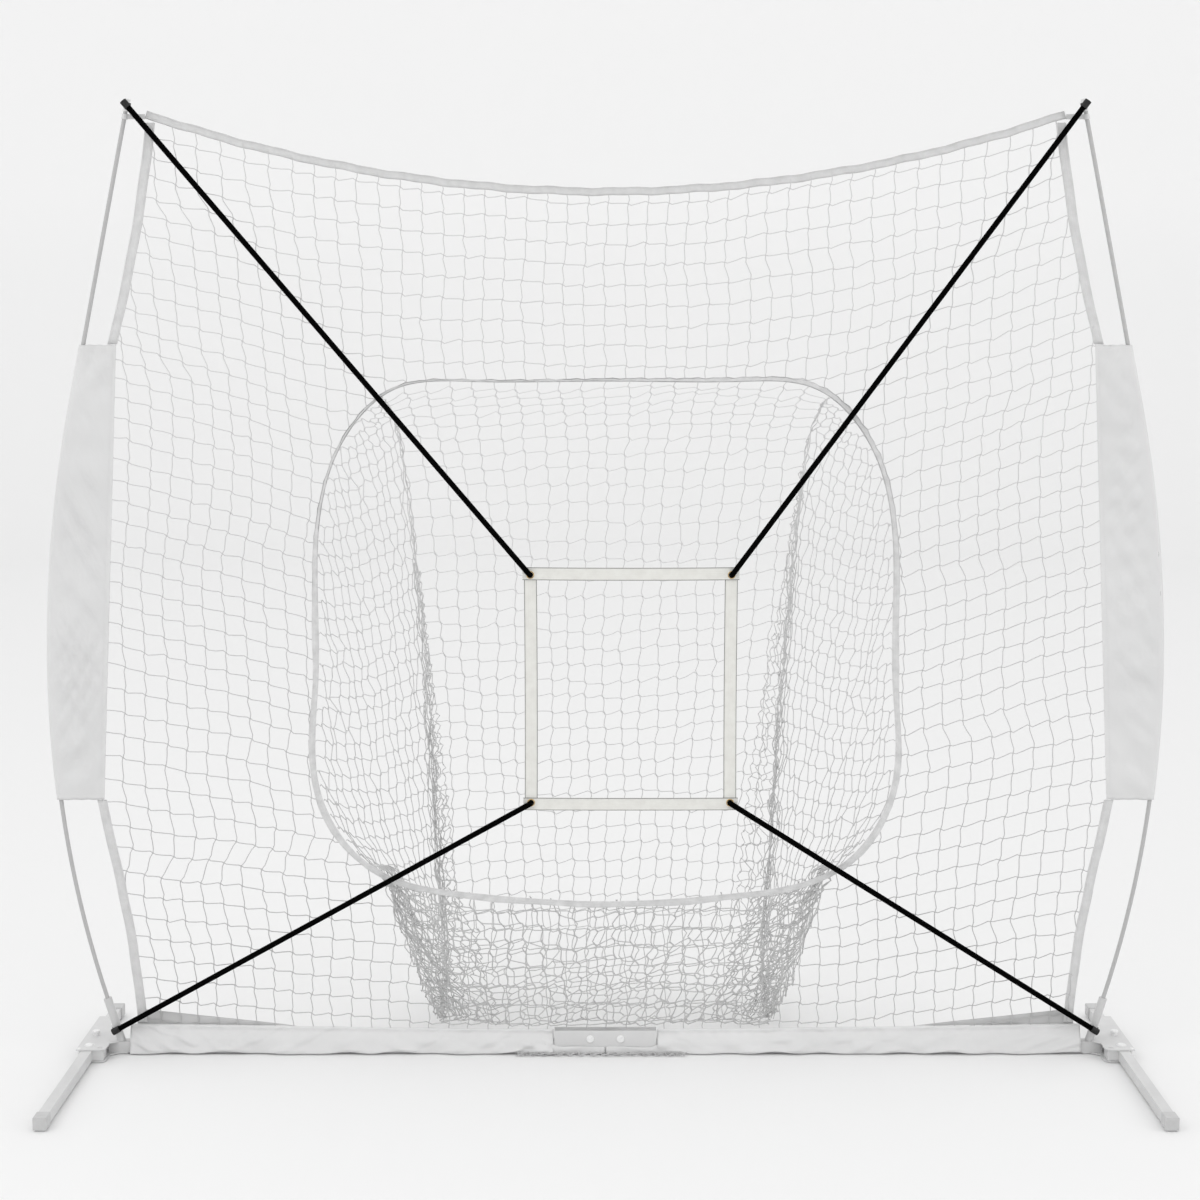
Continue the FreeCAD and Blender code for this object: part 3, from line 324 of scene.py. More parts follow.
class Finish:
    """A material under construction: coordinates, patterns and one principled surface."""

    def __init__(self, name, uv=False):
        self.material = bpy.data.materials.new(name)
        self.material.use_nodes = True
        tree = self.material.node_tree
        self.nodes, self.links = tree.nodes, tree.links
        self.nodes.clear()
        out = self.nodes.new("ShaderNodeOutputMaterial")
        self.shader = self.nodes.new("ShaderNodeBsdfPrincipled")
        self.links.new(self.shader.outputs[0], out.inputs["Surface"])
        source = self.nodes.new("ShaderNodeTexCoord")
        self.place = source.outputs["UV" if uv else "Object"]

    def mapped(self, scale):
        node = add(self.nodes, "ShaderNodeMapping")
        node.inputs["Scale"].default_value = scale
        self.links.new(self.place, node.inputs["Vector"])
        return node.outputs[0]

    def noise(self, scale, detail=3.0, vector=None, rough=0.55):
        node = add(self.nodes, "ShaderNodeTexNoise", Scale=scale, Detail=detail, Roughness=rough)
        self.links.new(vector or self.place, node.inputs["Vector"])
        return node.outputs["Fac"] if "Fac" in node.outputs else node.outputs[0]

    def bands(self, period, direction, vector=None, distortion=0.0):
        """Soft parallel ridges of a given period in metres."""
        length = 0.628 if direction == "DIAGONAL" else 0.314
        node = add(self.nodes, "ShaderNodeTexWave", wave_type="BANDS", bands_direction=direction)
        node.inputs["Scale"].default_value = length / period
        node.inputs["Distortion"].default_value = distortion
        self.links.new(vector or self.place, node.inputs["Vector"])
        return node.outputs["Fac"] if "Fac" in node.outputs else node.outputs[1]

    def math(self, operation, a, b):
        node = add(self.nodes, "ShaderNodeMath", operation=operation)
        for socket, value in zip(node.inputs, (a, b)):
            if isinstance(value, (int, float)):
                socket.default_value = value
            else:
                self.links.new(value, socket)
        return node.outputs[0]

    def ranged(self, value, low, high, from_low=0.3, from_high=0.7):
        node = add(self.nodes, "ShaderNodeMapRange")
        limits = {"From Min": from_low, "From Max": from_high, "To Min": low, "To Max": high}
        for key, number in limits.items():
            node.inputs[key].default_value = number
        self.links.new(value, node.inputs["Value"])
        return node.outputs[0]

    def colour(self, value, dark, light, from_low=0.3, from_high=0.7):
        """Colour between two tones, driven by a pattern."""
        node = add(self.nodes, "ShaderNodeValToRGB")
        node.color_ramp.elements[0].position = from_low
        node.color_ramp.elements[1].position = from_high
        node.color_ramp.elements[0].color = (*dark, 1)
        node.color_ramp.elements[1].color = (*light, 1)
        self.links.new(value, node.inputs[0])
        self.links.new(node.outputs[0], self.shader.inputs["Base Color"])

    def paint_edge_shade(self, tone, reach):
        """Painted shade: a darker tone beyond a distance from the strip's middle, standing in for the shadow
        along the strip's edges.
        """
        split = add(self.nodes, "ShaderNodeSeparateXYZ")
        self.links.new(self.place, split.inputs[0])
        edge = self.ranged(self.math("ABSOLUTE", split.outputs["Y"], 0.0), 0.0, 1.0, reach, reach + 0.0008)
        mix = add(self.nodes, "ShaderNodeMix", data_type="RGBA")
        sockets = [socket for socket in mix.inputs if socket.type == "RGBA"]
        before = self.shader.inputs["Base Color"].links[0].from_socket
        self.links.new(edge, mix.inputs[0])
        self.links.new(before, sockets[0])
        sockets[1].default_value = (*tone, 1)
        result = [socket for socket in mix.outputs if socket.type == "RGBA"][0]
        self.links.new(result, self.shader.inputs["Base Color"])

    def rough(self, value, low, high):
        self.links.new(self.ranged(value, low, high), self.shader.inputs["Roughness"])

    def bump(self, height, depth, strength=1.0):
        node = add(self.nodes, "ShaderNodeBump")
        node.inputs["Distance"].default_value = depth
        node.inputs["Strength"].default_value = strength
        self.links.new(height, node.inputs["Height"])
        self.links.new(node.outputs[0], self.shader.inputs["Normal"])

    def set(self, **values):
        for key, value in values.items():
            self.shader.inputs[key.replace("_", " ")].default_value = value
        return self.material


def coated_steel(name, tone, spread=7):
    """Sprayed steel: slight orange peel, faint rubbed patches."""
    finish = Finish(name)
    patches = finish.noise(9, 5)
    finish.colour(patches, tones(tone - spread), tones(tone + spread * 0.6))
    finish.rough(finish.noise(35, 4), 0.34, 0.52)
    peel = finish.math("ADD", finish.noise(650, 2), finish.math("MULTIPLY", finish.noise(120, 3), 0.6))
    finish.bump(peel, 0.00006)
    return finish.set(Metallic=0.0)


def bright_metal(name, dark, light, rough, metallic=1.0):
    finish = Finish(name)
    finish.colour(finish.noise(160, 4), dark, light)
    finish.rough(finish.noise(420, 3), rough * 0.8, rough * 1.4)
    finish.bump(finish.noise(900, 2, finish.mapped((1, 1, 0.15))), 0.00004)
    return finish.set(Metallic=metallic)


def twine(name, low_tone, high_tone):
    """Twisted netting twine, its lay slanting along every strand, greyer toward the ground."""
    finish = Finish(name)
    lay = finish.bands(0.0022, "DIAGONAL", distortion=0.6)
    split = add(finish.nodes, "ShaderNodeSeparateXYZ")
    finish.links.new(finish.place, split.inputs[0])
    rise = finish.ranged(split.outputs["Z"], 0.0, 0.8, 0.25, 1.5)
    mixed = finish.math("ADD", rise, finish.math("MULTIPLY", finish.noise(4.0, 5), 0.2))
    finish.colour(mixed, tones(low_tone), tones(high_tone), 0.05, 0.95)
    finish.rough(finish.noise(300, 2), 0.62, 0.8)
    finish.bump(lay, 0.00025)
    return finish.set(Metallic=0.0)


def cloth(name, tone, spread, period=0.0009, depth=0.00012, scale=5.0, sheen=0.25):
    """Plain-woven cloth with faint creases in its tone."""
    finish = Finish(name)
    weave = finish.math("MULTIPLY", finish.bands(period, "X"), finish.bands(period, "Z"))
    crumple = finish.noise(26, 4, finish.mapped((1, 1, 0.5)))
    height = finish.math("ADD", weave, finish.math("MULTIPLY", crumple, 5.0))
    finish.colour(finish.noise(scale, 5), tones(tone - spread), tones(tone + spread * 0.5))
    finish.rough(crumple, 0.66, 0.84)
    finish.bump(height, depth)
    return finish.set(Metallic=0.0, Sheen_Weight=sheen)


def webbing(name, dark, light, period=0.0016, depth=0.0002, edge_shade=None):
    """Narrow woven webbing: a herringbone lay along the strip, in its own coordinates."""
    finish = Finish(name, uv=True)
    slant = finish.bands(period, "DIAGONAL")
    cross = finish.bands(period * 0.55, "X")
    rows = finish.bands(0.0048, "Y")
    height = finish.math("ADD", finish.math("MULTIPLY", slant, rows), finish.math("MULTIPLY", cross, 0.5))
    blotch = finish.math("ADD", finish.math("MULTIPLY", height, 0.12), finish.noise(40, 4))
    finish.colour(blotch, dark, light, 0.35, 0.75)
    # Painted shade: when an edge tone is given, both edges of the strip are darkened, standing in for the
    # shadow along them.
    if edge_shade:
        finish.paint_edge_shade(edge_shade, STRAP / 2 - 0.0022)
    finish.rough(finish.noise(300, 3), 0.6, 0.78)
    finish.bump(height, depth)
    return finish.set(Metallic=0.0, Sheen_Weight=0.15)


def braided(name):
    """Black elastic cord: a braided cover in its own coordinates."""
    finish = Finish(name, uv=True)
    one = finish.bands(0.5, "DIAGONAL", finish.mapped((4.0, 130.0, 1)))
    other = finish.bands(0.5, "DIAGONAL", finish.mapped((-4.0, 130.0, 1)))
    cover = finish.math("MAXIMUM", one, other)
    finish.colour(cover, tones(0), tones(5), 0.2, 0.95)
    finish.rough(finish.noise(60, 2), 0.8, 0.95)
    finish.bump(cover, 0.0004)
    return finish.set(Metallic=0.0, Specular_IOR_Level=0.03)


def moulded(name, tone, spread=3):
    """Moulded plastic or rubber with a fine grain."""
    finish = Finish(name)
    finish.colour(finish.noise(30, 4), tones(max(tone - spread, 0)), tones(tone + spread))
    finish.rough(finish.noise(90, 3), 0.45, 0.66)
    finish.bump(finish.noise(1400, 2), 0.00008)
    return finish.set(Metallic=0.0)


def glass_fibre(name, tone):
    """Pultruded rod: fine streaks that run along it under a smooth skin."""
    finish = Finish(name)
    streaks = finish.noise(900, 3, finish.mapped((1, 1, 0.012)))
    finish.colour(streaks, tones(tone - 9), tones(tone + 5))
    finish.rough(finish.noise(60, 3), 0.28, 0.42)
    finish.bump(streaks, 0.00003)
    return finish.set(Metallic=0.0)


def stitching(name, tone):
    finish = Finish(name)
    finish.colour(finish.noise(60, 3), tones(tone - 7), tones(tone + 5))
    finish.rough(finish.noise(400, 2), 0.55, 0.75)
    finish.bump(finish.bands(0.0006, "DIAGONAL"), 0.00008)
    return finish.set(Metallic=0.0)


STEEL = coated_steel("base_steel", 205)
LEG_STEEL = coated_steel("leg_steel", 211)
# Painted light: the corner plates get their own lighter copy of the coated steel, standing in for the light
# falling on their upward faces.
LIT_PLATE_STEEL = coated_steel("plate_steel", 212)
CHANNEL_STEEL = coated_steel("channel_steel", 216)
ZINC = bright_metal("bright_zinc", tones(226), tones(244), 0.4, 0.1)
FERRULE = bright_metal("ferrule_metal", tones(178), tones(204), 0.3, 0.6)
BRASS = bright_metal("grommet_brass", tones(196, 160, 96), tones(228, 196, 134), 0.35, 0.7)
ROD = glass_fibre("pole_glassfibre", 184)
SOCKET = coated_steel("socket_steel", 204)
CLIP = moulded("clip_moulding", 6)
RUBBER = moulded("foot_rubber", 196, 6)
NET_TWINE = twine("net_twine", 193, 214)
# Painted light: the pocket's twine is a lighter copy of the net twine, offsetting the shade inside the pocket
# and between its dense strands.
LIT_POCKET_TWINE = twine("pocket_twine", 207, 226)
EDGE_TAPE = webbing("edge_tape", tones(206), tones(220))
RIM_TAPE = webbing("rim_tape", tones(200), tones(224))
SLEEVE_CLOTH = cloth("sleeve_cloth", 221, 4)
SKIRT_CLOTH = cloth("skirt_cloth", 225, 4)
# Painted shade: the flap behind the net is the skirt's cloth in a darker tone, standing in for the shade it
# lies in.
SHADED_FLAP_CLOTH = cloth("flap_cloth_painted_shade", 200, 4)
# Painted shade: the dark edge tone stands in for the shadow along the target straps' edges.
TARGET_WEBBING = webbing("target_webbing", tones(226, 225, 220), tones(236, 236, 231),
                         edge_shade=tones(140, 140, 137))
TARGET_THREAD = stitching("target_thread", 226)
TAPE_THREAD = stitching("tape_thread", 214)
CORD_COVER = braided("elastic_cord")
CAP_PLASTIC = moulded("cap_plastic", 232, 4)

CAD_FINISHES = {
    STEEL: ["left_base_tube", "right_base_tube", "hinge_lugs"],
    CHANNEL_STEEL: ["hinge_channel"],
    ZINC: ["hinge_bolts", "corner_rivets", "leg_pivot_bolts", "left_lock_plunger", "right_lock_plunger",
           "plunger_collars"],
    LIT_PLATE_STEEL: ["left_corner_top_plate", "right_corner_top_plate", "left_corner_bottom_plate",
                  "right_corner_bottom_plate"],
    LEG_STEEL: ["left_leg_tube", "right_leg_tube", "left_leg_stop_block", "right_leg_stop_block"],
    SOCKET: ["left_pole_socket", "right_pole_socket"],
    ROD: ["left_lower_pole", "right_lower_pole", "left_upper_pole", "right_upper_pole"],
    FERRULE: ["pole_ferrules"],
    CAP_PLASTIC: ["pole_tip_caps"],
    RUBBER: ["left_leg_feet", "right_leg_feet"],
    CLIP: ["top_left_cord_clip", "top_right_cord_clip", "bottom_left_cord_clip", "bottom_right_cord_clip"],
}
for finish, names in CAD_FINISHES.items():
    for node_name in names:
        data = NODES[node_name].data
        data.materials.clear()
        data.materials.append(finish)

# ---- node trees for netting and stitches ---------------------------------------------------
def new_tree(name, inputs):
    """A geometry tree with a geometry input and output and some named inputs."""
    tree = bpy.data.node_groups.new(name, "GeometryNodeTree")
    tree.interface.new_socket("Geometry", in_out="INPUT", socket_type="NodeSocketGeometry")
    for label, kind, value in inputs:
        socket = tree.interface.new_socket(label, in_out="INPUT", socket_type=kind)
        if value is not None:
            socket.default_value = value
    tree.interface.new_socket("Geometry", in_out="OUTPUT", socket_type="NodeSocketGeometry")
    return tree, tree.nodes.new("NodeGroupInput"), tree.nodes.new("NodeGroupOutput")


def twine_tree():
    """Edges become round strands; marked points get a small irregular knot."""
    tree, given, result = new_tree("netting", [("Twine Radius", "NodeSocketFloat", 0.0013),
                                               ("Knot Radius", "NodeSocketFloat", 0.0024),
                                               ("Material", "NodeSocketMaterial", None)])
    nodes, link = tree.nodes, tree.links.new
    curve = nodes.new("GeometryNodeMeshToCurve")
    ring = nodes.new("GeometryNodeCurvePrimitiveCircle")
    ring.inputs["Resolution"].default_value = 6
    swept = nodes.new("GeometryNodeCurveToMesh")
    swept.inputs["Fill Caps"].default_value = True
    link(given.outputs["Geometry"], curve.inputs[0])
    link(given.outputs["Twine Radius"], ring.inputs["Radius"])
    link(curve.outputs[0], swept.inputs["Curve"])
    link(ring.outputs[0], swept.inputs["Profile Curve"])
    shares = nodes.new("GeometryNodeInputNamedAttribute")
    shares.data_type = "FLOAT"
    shares.inputs["Name"].default_value = "thick"
    link(shares.outputs["Attribute"], swept.inputs["Scale"])
    ball = nodes.new("GeometryNodeMeshIcoSphere")
    ball.inputs["Subdivisions"].default_value = 1
    link(given.outputs["Knot Radius"], ball.inputs["Radius"])
    marked = nodes.new("GeometryNodeInputNamedAttribute")
    marked.data_type = "FLOAT"
    marked.inputs["Name"].default_value = "knot"
    compare = nodes.new("FunctionNodeCompare")
    compare.data_type = "FLOAT"
    compare.operation = "GREATER_THAN"
    compare.inputs["B"].default_value = 0.5
    link(marked.outputs["Attribute"], compare.inputs["A"])
    turn = nodes.new("FunctionNodeRandomValue")
    turn.data_type = "FLOAT_VECTOR"
    turn.inputs["Max"].default_value = (6.28, 6.28, 6.28)
    turn.inputs["Seed"].default_value = 4
    size = nodes.new("FunctionNodeRandomValue")
    size.data_type = "FLOAT_VECTOR"
    size.inputs["Min"].default_value = (0.8, 0.8, 0.9)
    size.inputs["Max"].default_value = (1.1, 1.1, 1.5)
    size.inputs["Seed"].default_value = 9
    placed = nodes.new("GeometryNodeInstanceOnPoints")
    link(given.outputs["Geometry"], placed.inputs["Points"])
    link(compare.outputs["Result"], placed.inputs["Selection"])
    link(ball.outputs["Mesh"], placed.inputs["Instance"])
    link(turn.outputs[0], placed.inputs["Rotation"])
    link(size.outputs[0], placed.inputs["Scale"])
    both = nodes.new("GeometryNodeJoinGeometry")
    link(placed.outputs[0], both.inputs[0])
    link(swept.outputs[0], both.inputs[0])
    finish_tree(tree, both, given, result)
    return tree


def finish_tree(tree, last, given, result):
    """Real geometry, smooth, in the given material."""
    real = tree.nodes.new("GeometryNodeRealizeInstances")
    smooth = tree.nodes.new("GeometryNodeSetShadeSmooth")
    painted = tree.nodes.new("GeometryNodeSetMaterial")
    tree.links.new(last.outputs[0], real.inputs[0])
    tree.links.new(real.outputs[0], smooth.inputs[0])
    tree.links.new(smooth.outputs[0], painted.inputs["Geometry"])
    tree.links.new(given.outputs["Material"], painted.inputs["Material"])
    tree.links.new(painted.outputs[0], result.inputs[0])


def stitch_tree():
    """Short raised stitches at an even pitch along every line."""
    tree, given, result = new_tree("stitches", [("Pitch", "NodeSocketFloat", 0.005),
                                                ("Stitch Radius", "NodeSocketFloat", 0.0005),
                                                ("Material", "NodeSocketMaterial", None)])
    nodes, link = tree.nodes, tree.links.new
    curve = nodes.new("GeometryNodeMeshToCurve")
    spaced = nodes.new("GeometryNodeResampleCurve")
    if hasattr(spaced, "mode"):
        spaced.mode = "LENGTH"
    else:
        spaced.inputs["Mode"].default_value = "Length"
    link(given.outputs["Geometry"], curve.inputs[0])
    link(curve.outputs[0], spaced.inputs["Curve"])
    link(given.outputs["Pitch"], spaced.inputs["Length"])
    stitch = nodes.new("GeometryNodeMeshIcoSphere")
    stitch.inputs["Subdivisions"].default_value = 1
    link(given.outputs["Stitch Radius"], stitch.inputs["Radius"])
    tangent = nodes.new("GeometryNodeInputTangent")
    aligned = nodes.new("FunctionNodeAlignRotationToVector")
    aligned.axis = "X"
    link(tangent.outputs[0], aligned.inputs["Vector"])
    placed = nodes.new("GeometryNodeInstanceOnPoints")
    placed.inputs["Scale"].default_value = (3.2, 1.0, 0.8)
    link(spaced.outputs[0], placed.inputs["Points"])
    link(stitch.outputs["Mesh"], placed.inputs["Instance"])
    link(aligned.outputs[0], placed.inputs["Rotation"])
    finish_tree(tree, placed, given, result)
    return tree


NETTING = twine_tree()
STITCHES = stitch_tree()


def through(tree, mesh, name, values):
    """The mesh that a node tree makes of another, with the tree's inputs set by name."""
    holder = new_object(name, mesh)
    modifier = holder.modifiers.new(tree.name, "NODES")
    modifier.node_group = tree
    for item in tree.interface.items_tree:
        if item.item_type == "SOCKET" and item.in_out == "INPUT" and item.name in values:
            modifier[item.identifier] = values[item.name]
    holder.update_tag()
    bpy.context.view_layer.update()
    evaluated = holder.evaluated_get(bpy.context.evaluated_depsgraph_get())
    made = bpy.data.meshes.new_from_object(evaluated)
    made.name = name
    bpy.data.objects.remove(holder)
    bpy.data.meshes.remove(mesh)
    return made


class Strands:
    """Strands of twine and the knots between them."""

    def __init__(self):
        self.points, self.edges, self.knots, self.thick = [], [], [], []

    def add(self, line, thick=1.0):
        """A strand, with its thickness as a share of the twine's."""
        first = len(self.points)
        self.points.extend(line)
        self.thick.extend([thick] * len(line))
        self.edges.extend((first + k, first + k + 1) for k in range(len(line) - 1))

    def knot(self, point):
        self.knots.append(point)

    def mesh(self, name, radius, knot_radius, material):
        source = bpy.data.meshes.new(name)
        points = [tuple(p) for p in self.points + self.knots]
        source.from_pydata(points, self.edges, [])
        marks = source.attributes.new("knot", "FLOAT", "POINT")
        marks.data.foreach_set("value", [0.0] * len(self.points) + [1.0] * len(self.knots))
        shares = source.attributes.new("thick", "FLOAT", "POINT")
        shares.data.foreach_set("value", self.thick + [1.0] * len(self.knots))
        sizes = {"Twine Radius": radius, "Knot Radius": knot_radius, "Material": material}
        made = through(NETTING, source, name, sizes)
        for label in ("knot", "thick"):
            if label in made.attributes:
                made.attributes.remove(made.attributes[label])
        return made


def stitches(lines, pitch, radius, thread):
    """A mesh of stitches along some lines."""
    source = bpy.data.meshes.new("stitch_lines")
    points, edges = [], []
    for line in lines:
        first = len(points)
        points.extend(tuple(p) for p in line)
        edges.extend((first + k, first + k + 1) for k in range(len(line) - 1))
    source.from_pydata(points, edges, [])
    sizes = {"Pitch": pitch, "Stitch Radius": radius, "Material": thread}
    return through(STITCHES, source, "stitches", sizes)


# ---- netting -------------------------------------------------------------------------------
def unit(v):
    v = np.array(v, float)
    return v / max(np.linalg.norm(v), 1e-9)


def upright_strand(a, b, side, kink):
    """A strand that leaves its lower knot to one side and comes into the next from the other."""
    size = kink * random.uniform(0.5, 1.4)
    lean = random.uniform(-0.35, 0.35) * kink
    return [a, a + (b - a) * 0.2 + side * size, a + (b - a) * 0.5 + side * lean,
            a + (b - a) * 0.8 - side * size, b]


def level_strand(a, b, down, droop):
    """A strand that drops from its knot, slants up and hooks over into the next."""
    size = droop * random.uniform(0.4, 1.5)
    return [a, a + (b - a) * 0.14 + down * size, a + (b - a) * 0.5 + down * size * random.uniform(0.0, 0.5),
            a + (b - a) * 0.86 - down * size * random.uniform(0.4, 0.9), b]


def crossing(outside, inside, test):
    """Where a segment crosses the outline."""
    for _ in range(12):
        middle = (outside + inside) / 2
        if test(middle):
            inside = middle
        else:
            outside = middle
    return inside


def clipped(line, test):
    """The parts of a line that lie inside, cut where it crosses the outline."""
    parts, current = [], []
    kept = [test(p) for p in line]
    for k, point in enumerate(line):
        if kept[k]:
            if k and not current:
                current.append(crossing(line[k - 1], point, test))
            current.append(point)
        elif current:
            current.append(crossing(point, current[-1], test))
            parts.append(current)
            current = []
    if len(current) > 1:
        parts.append(current)
    return parts


rim_right = spline(RIM, 140, (1, 0), (-1, 0))
rim_loop = np.concatenate([rim_right, rim_right[-2:0:-1] * (-1, 1)])
RIM_MIDDLE_Z = 0.95
rim_angles = np.arctan2(rim_right[:, 0], rim_right[:, 1] - RIM_MIDDLE_Z)
rim_reaches = np.hypot(rim_right[:, 0], rim_right[:, 1] - RIM_MIDDLE_Z)


def rim_share(x, z):
    """How far out a point is, as a share of the opening's outline in its direction."""
    angle = math.atan2(abs(x), z - RIM_MIDDLE_Z)
    return math.hypot(x, z - RIM_MIDDLE_Z) / float(np.interp(angle, rim_angles, rim_reaches))


def rim_low_z(x):
    """The height of the opening's lower edge."""
    lower = rim_right[rim_right[:, 1] < 0.50][::-1]
    return float(np.interp(abs(x), lower[:, 0], lower[:, 1]))


def rim_top_z(x):
    """The height of the opening's upper edge."""
    upper = rim_right[rim_right[:, 1] > 1.45]
    return float(np.interp(abs(x), upper[:, 0], upper[:, 1]))


def skirt_top_z(x):
    """The skirt's top edge rises toward the ends and dips at the middle."""
    return 0.056 + 0.013 * min(1.0, abs(x) / 1.05) ** 1.5


def in_main_net(p):
    x, z = p[0], p[2]
    low = 0.0585 if abs(x) < 0.121 else skirt_top_z(x) - 0.004
    within = SLEEVE_LOW < z < SLEEVE_HIGH
    side = net_edge_x(z) + 0.001 if within else tape_outer_x(z) - 0.012
    if z > net_top_z(x) - 0.010 or z < low or abs(x) > side:
        return False
    return rim_share(x, z) > 1.006


def smooth_step(value, low, high):
    t = min(1.0, max(0.0, (value - low) / (high - low)))
    return t * t * (3 - 2 * t)


# each crease: x, z, how far it spreads and how far it shifts the knots
CREASES = [(-0.86, 0.46, 0.30, 0.022), (-0.80, 0.72, 0.24, 0.010), (0.88, 0.76, 0.2, -0.012),
           (-0.9, 1.93, 0.14, -0.017), (0.86, 1.86, 0.16, 0.012), (-0.95, 1.58, 0.12, -0.016),
           (0.93, 1.5, 0.14, 0.010), (0.35, 1.80, 0.3, -0.006), (-0.3, 0.24, 0.3, 0.006),
           (0.9, 0.28, 0.2, -0.011), (-0.8, 1.2, 0.2, 0.007), (0.85, 1.12, 0.2, -0.007)]


def main_place(column, height):
    """A knot of the main net: rows hang from both sides, columns follow the side edges."""
    reach = abs(column)
    hang_top = NET_TOP_SAG * min(1.4, (reach / NET_CORNER_X) ** 2)
    slope = float(np.interp(height, (0.0, 0.35, 0.75, 1.3, 1.7, 2.0), (0.10, 0.17, 0.30, 0.33, 0.30, 0.27)))
    beyond = reach - 0.50
    hang_low = slope * 0.5 * (beyond + math.sqrt(beyond ** 2 + 0.12 ** 2)) - slope * 0.012
    top = smooth_step(height, 1.45, 1.95)
    z = height + hang_top * top + hang_low * (1 - top)
    follow = (net_edge_x(min(z, 2.14)) - 1.10) * (min(reach, 1.2) / 1.10) ** 2.4
    x = column + math.copysign(follow, column)
    x += 0.004 * math.sin(7.1 * z + 3.0 * column) + 0.003 * math.sin(17.0 * z - 5.0 * column)
    z += 0.004 * math.sin(8.0 * column + 2.0 * z) + 0.002 * math.sin(21.0 * column)
    for cx, cz, spread, shift in CREASES:
        near = math.exp(-((x - cx) / spread) ** 2)
        x += shift * math.tanh((z - cz - 0.12 * (x - cx)) / 0.02) * near * math.exp(-((z - cz) / 0.22) ** 2)
    y = 0.0015 * math.sin(5.0 * x + 4.0 * z)
    return np.array((x, y, z)) + random.normal(0, 0.0014, 3) * (1, 0.3, 1)


def panel_of(x, z):
    """The panel of the main net that a point belongs to."""
    reach = abs(x)
    if z > 1.544 + max(0.0, reach - 0.505) * (NET_CORNER_Z - 1.544) / (NET_CORNER_X - 0.505):
        return "top"
    if z < 0.447 - max(0.0, reach - 0.542) * (0.447 - NET_BOTTOM_Z) / (NET_FOOT_X - 0.542):
        return "bottom"
    return "left" if x < 0 else "right"


def main_net():
    """The four panels' strands."""
    panels = {name: Strands() for name in ("top", "bottom", "left", "right")}
    columns = [(j - 26) * MESH for j in range(53)]
    heights = [-0.24 + i * MESH for i in range(54)]
    places = [[main_place(c, h) for c in columns] for h in heights]
    down = np.array((0, 0, -1.0))
    for i, row in enumerate(places):
        for j, here in enumerate(row):
            if in_main_net(here):
                panels[panel_of(here[0], here[2])].knot(here)
            strands = []
            if i + 1 < len(places):
                above = places[i + 1][j]
                strands.append((upright_strand(here, above, np.array((1.0, 0, 0)), 0.0020), 0.85))
            if j + 1 < len(row):
                strands.append((level_strand(here, row[j + 1], down, 0.0030), 0.85))
            for strand, thick in strands:
                for part in clipped(strand, in_main_net):
                    middle = part[len(part) // 2]
                    panels[panel_of(middle[0], middle[2])].add(part, thick)
    return panels


def loose_strand(line, side, out, wander, step=0.012):
    """A strand that wanders about a line."""
    line = np.array(line, float)
    along = np.concatenate([[0], np.cumsum(np.linalg.norm(np.diff(line, axis=0), axis=1))])
    count = max(4, int(along[-1] / step))
    at = np.linspace(0, along[-1], count)
    points = np.stack([np.interp(at, along, line[:, k]) for k in range(3)], axis=1)
    fade = np.clip(np.minimum(at, along[-1] - at) / 0.05, 0, 1)[:, None]
    for axis, size in ((side, wander), (out, wander * 0.6)):
        wave = np.zeros(count)
        for k in range(3):
            wave += random.uniform(0.3, 1.0) * np.sin(at * random.uniform(12, 95) + random.uniform(0, 6.28))
        points += fade * wave[:, None] * np.array(axis) * size
    return list(points)


def fringe(strands):
    """Loops of spare netting that lie on the ground under the middle of the bar."""
    for row in range(3):
        line = []
        for k in range(95):
            x = -0.205 + 0.39 * k / 94
            wave = math.sin(k * (0.85 + 0.1 * row) + row * 2)
            line.append(np.array((x + 0.003 * wave, -0.0235 - 0.003 * row + 0.004 * math.cos(k * 0.9 + row),
                                  0.0045 + 0.0028 * wave + 0.0008 * row)))
        strands.add(line)


def netting_object(name, strands, radius, knot, material, nodes):
    """A piece of netting from its strands, in place of some CAD nodes."""
    made = joined(name, [(strands.mesh(name, radius, knot, material), material)])
    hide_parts(*nodes)
    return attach(made, "frame")


panels = main_net()
fringe(panels["bottom"])
for panel in ("top", "left", "right", "bottom"):
    netting_object("net_" + panel + "_twine", panels[panel], TWINE_R, TWINE_KNOT_R, NET_TWINE,
                   ["net_" + panel + "_panel"])

# ---- ball pocket ---------------------------------------------------------------------------
D = POCKET_DEPTH
BACK_PROFILE = [(0.004, 1.548), (0.19, 1.46), (0.37, 1.10), (0.975 * D, 0.62), (0.985 * D, 0.33),
                (0.965 * D, 0.16)]
BACK_HALVES = (0.500, 0.486, 0.454, 0.430, 0.414, 0.400)
FLOOR_PROFILE = [(0.965 * D, 0.16), (0.86 * D, 0.088), (0.6 * D, 0.058), (0.36 * D, 0.046),
                 (0.20 * D, 0.040)]
FLOOR_HALVES = (0.400, 0.395, 0.390, 0.387, 0.385)


def profile_points(profile, halves, count):
    """Evenly spaced points of a profile in side view, with the half width at each."""
    line = spline(profile, count)
    given = np.cumsum([0] + [math.dist(a, b) for a, b in zip(profile, profile[1:])])
    widths = np.interp(np.linspace(0, given[-1], count), given, halves)
    return [(y, z, half) for (y, z), half in zip(line, widths)]


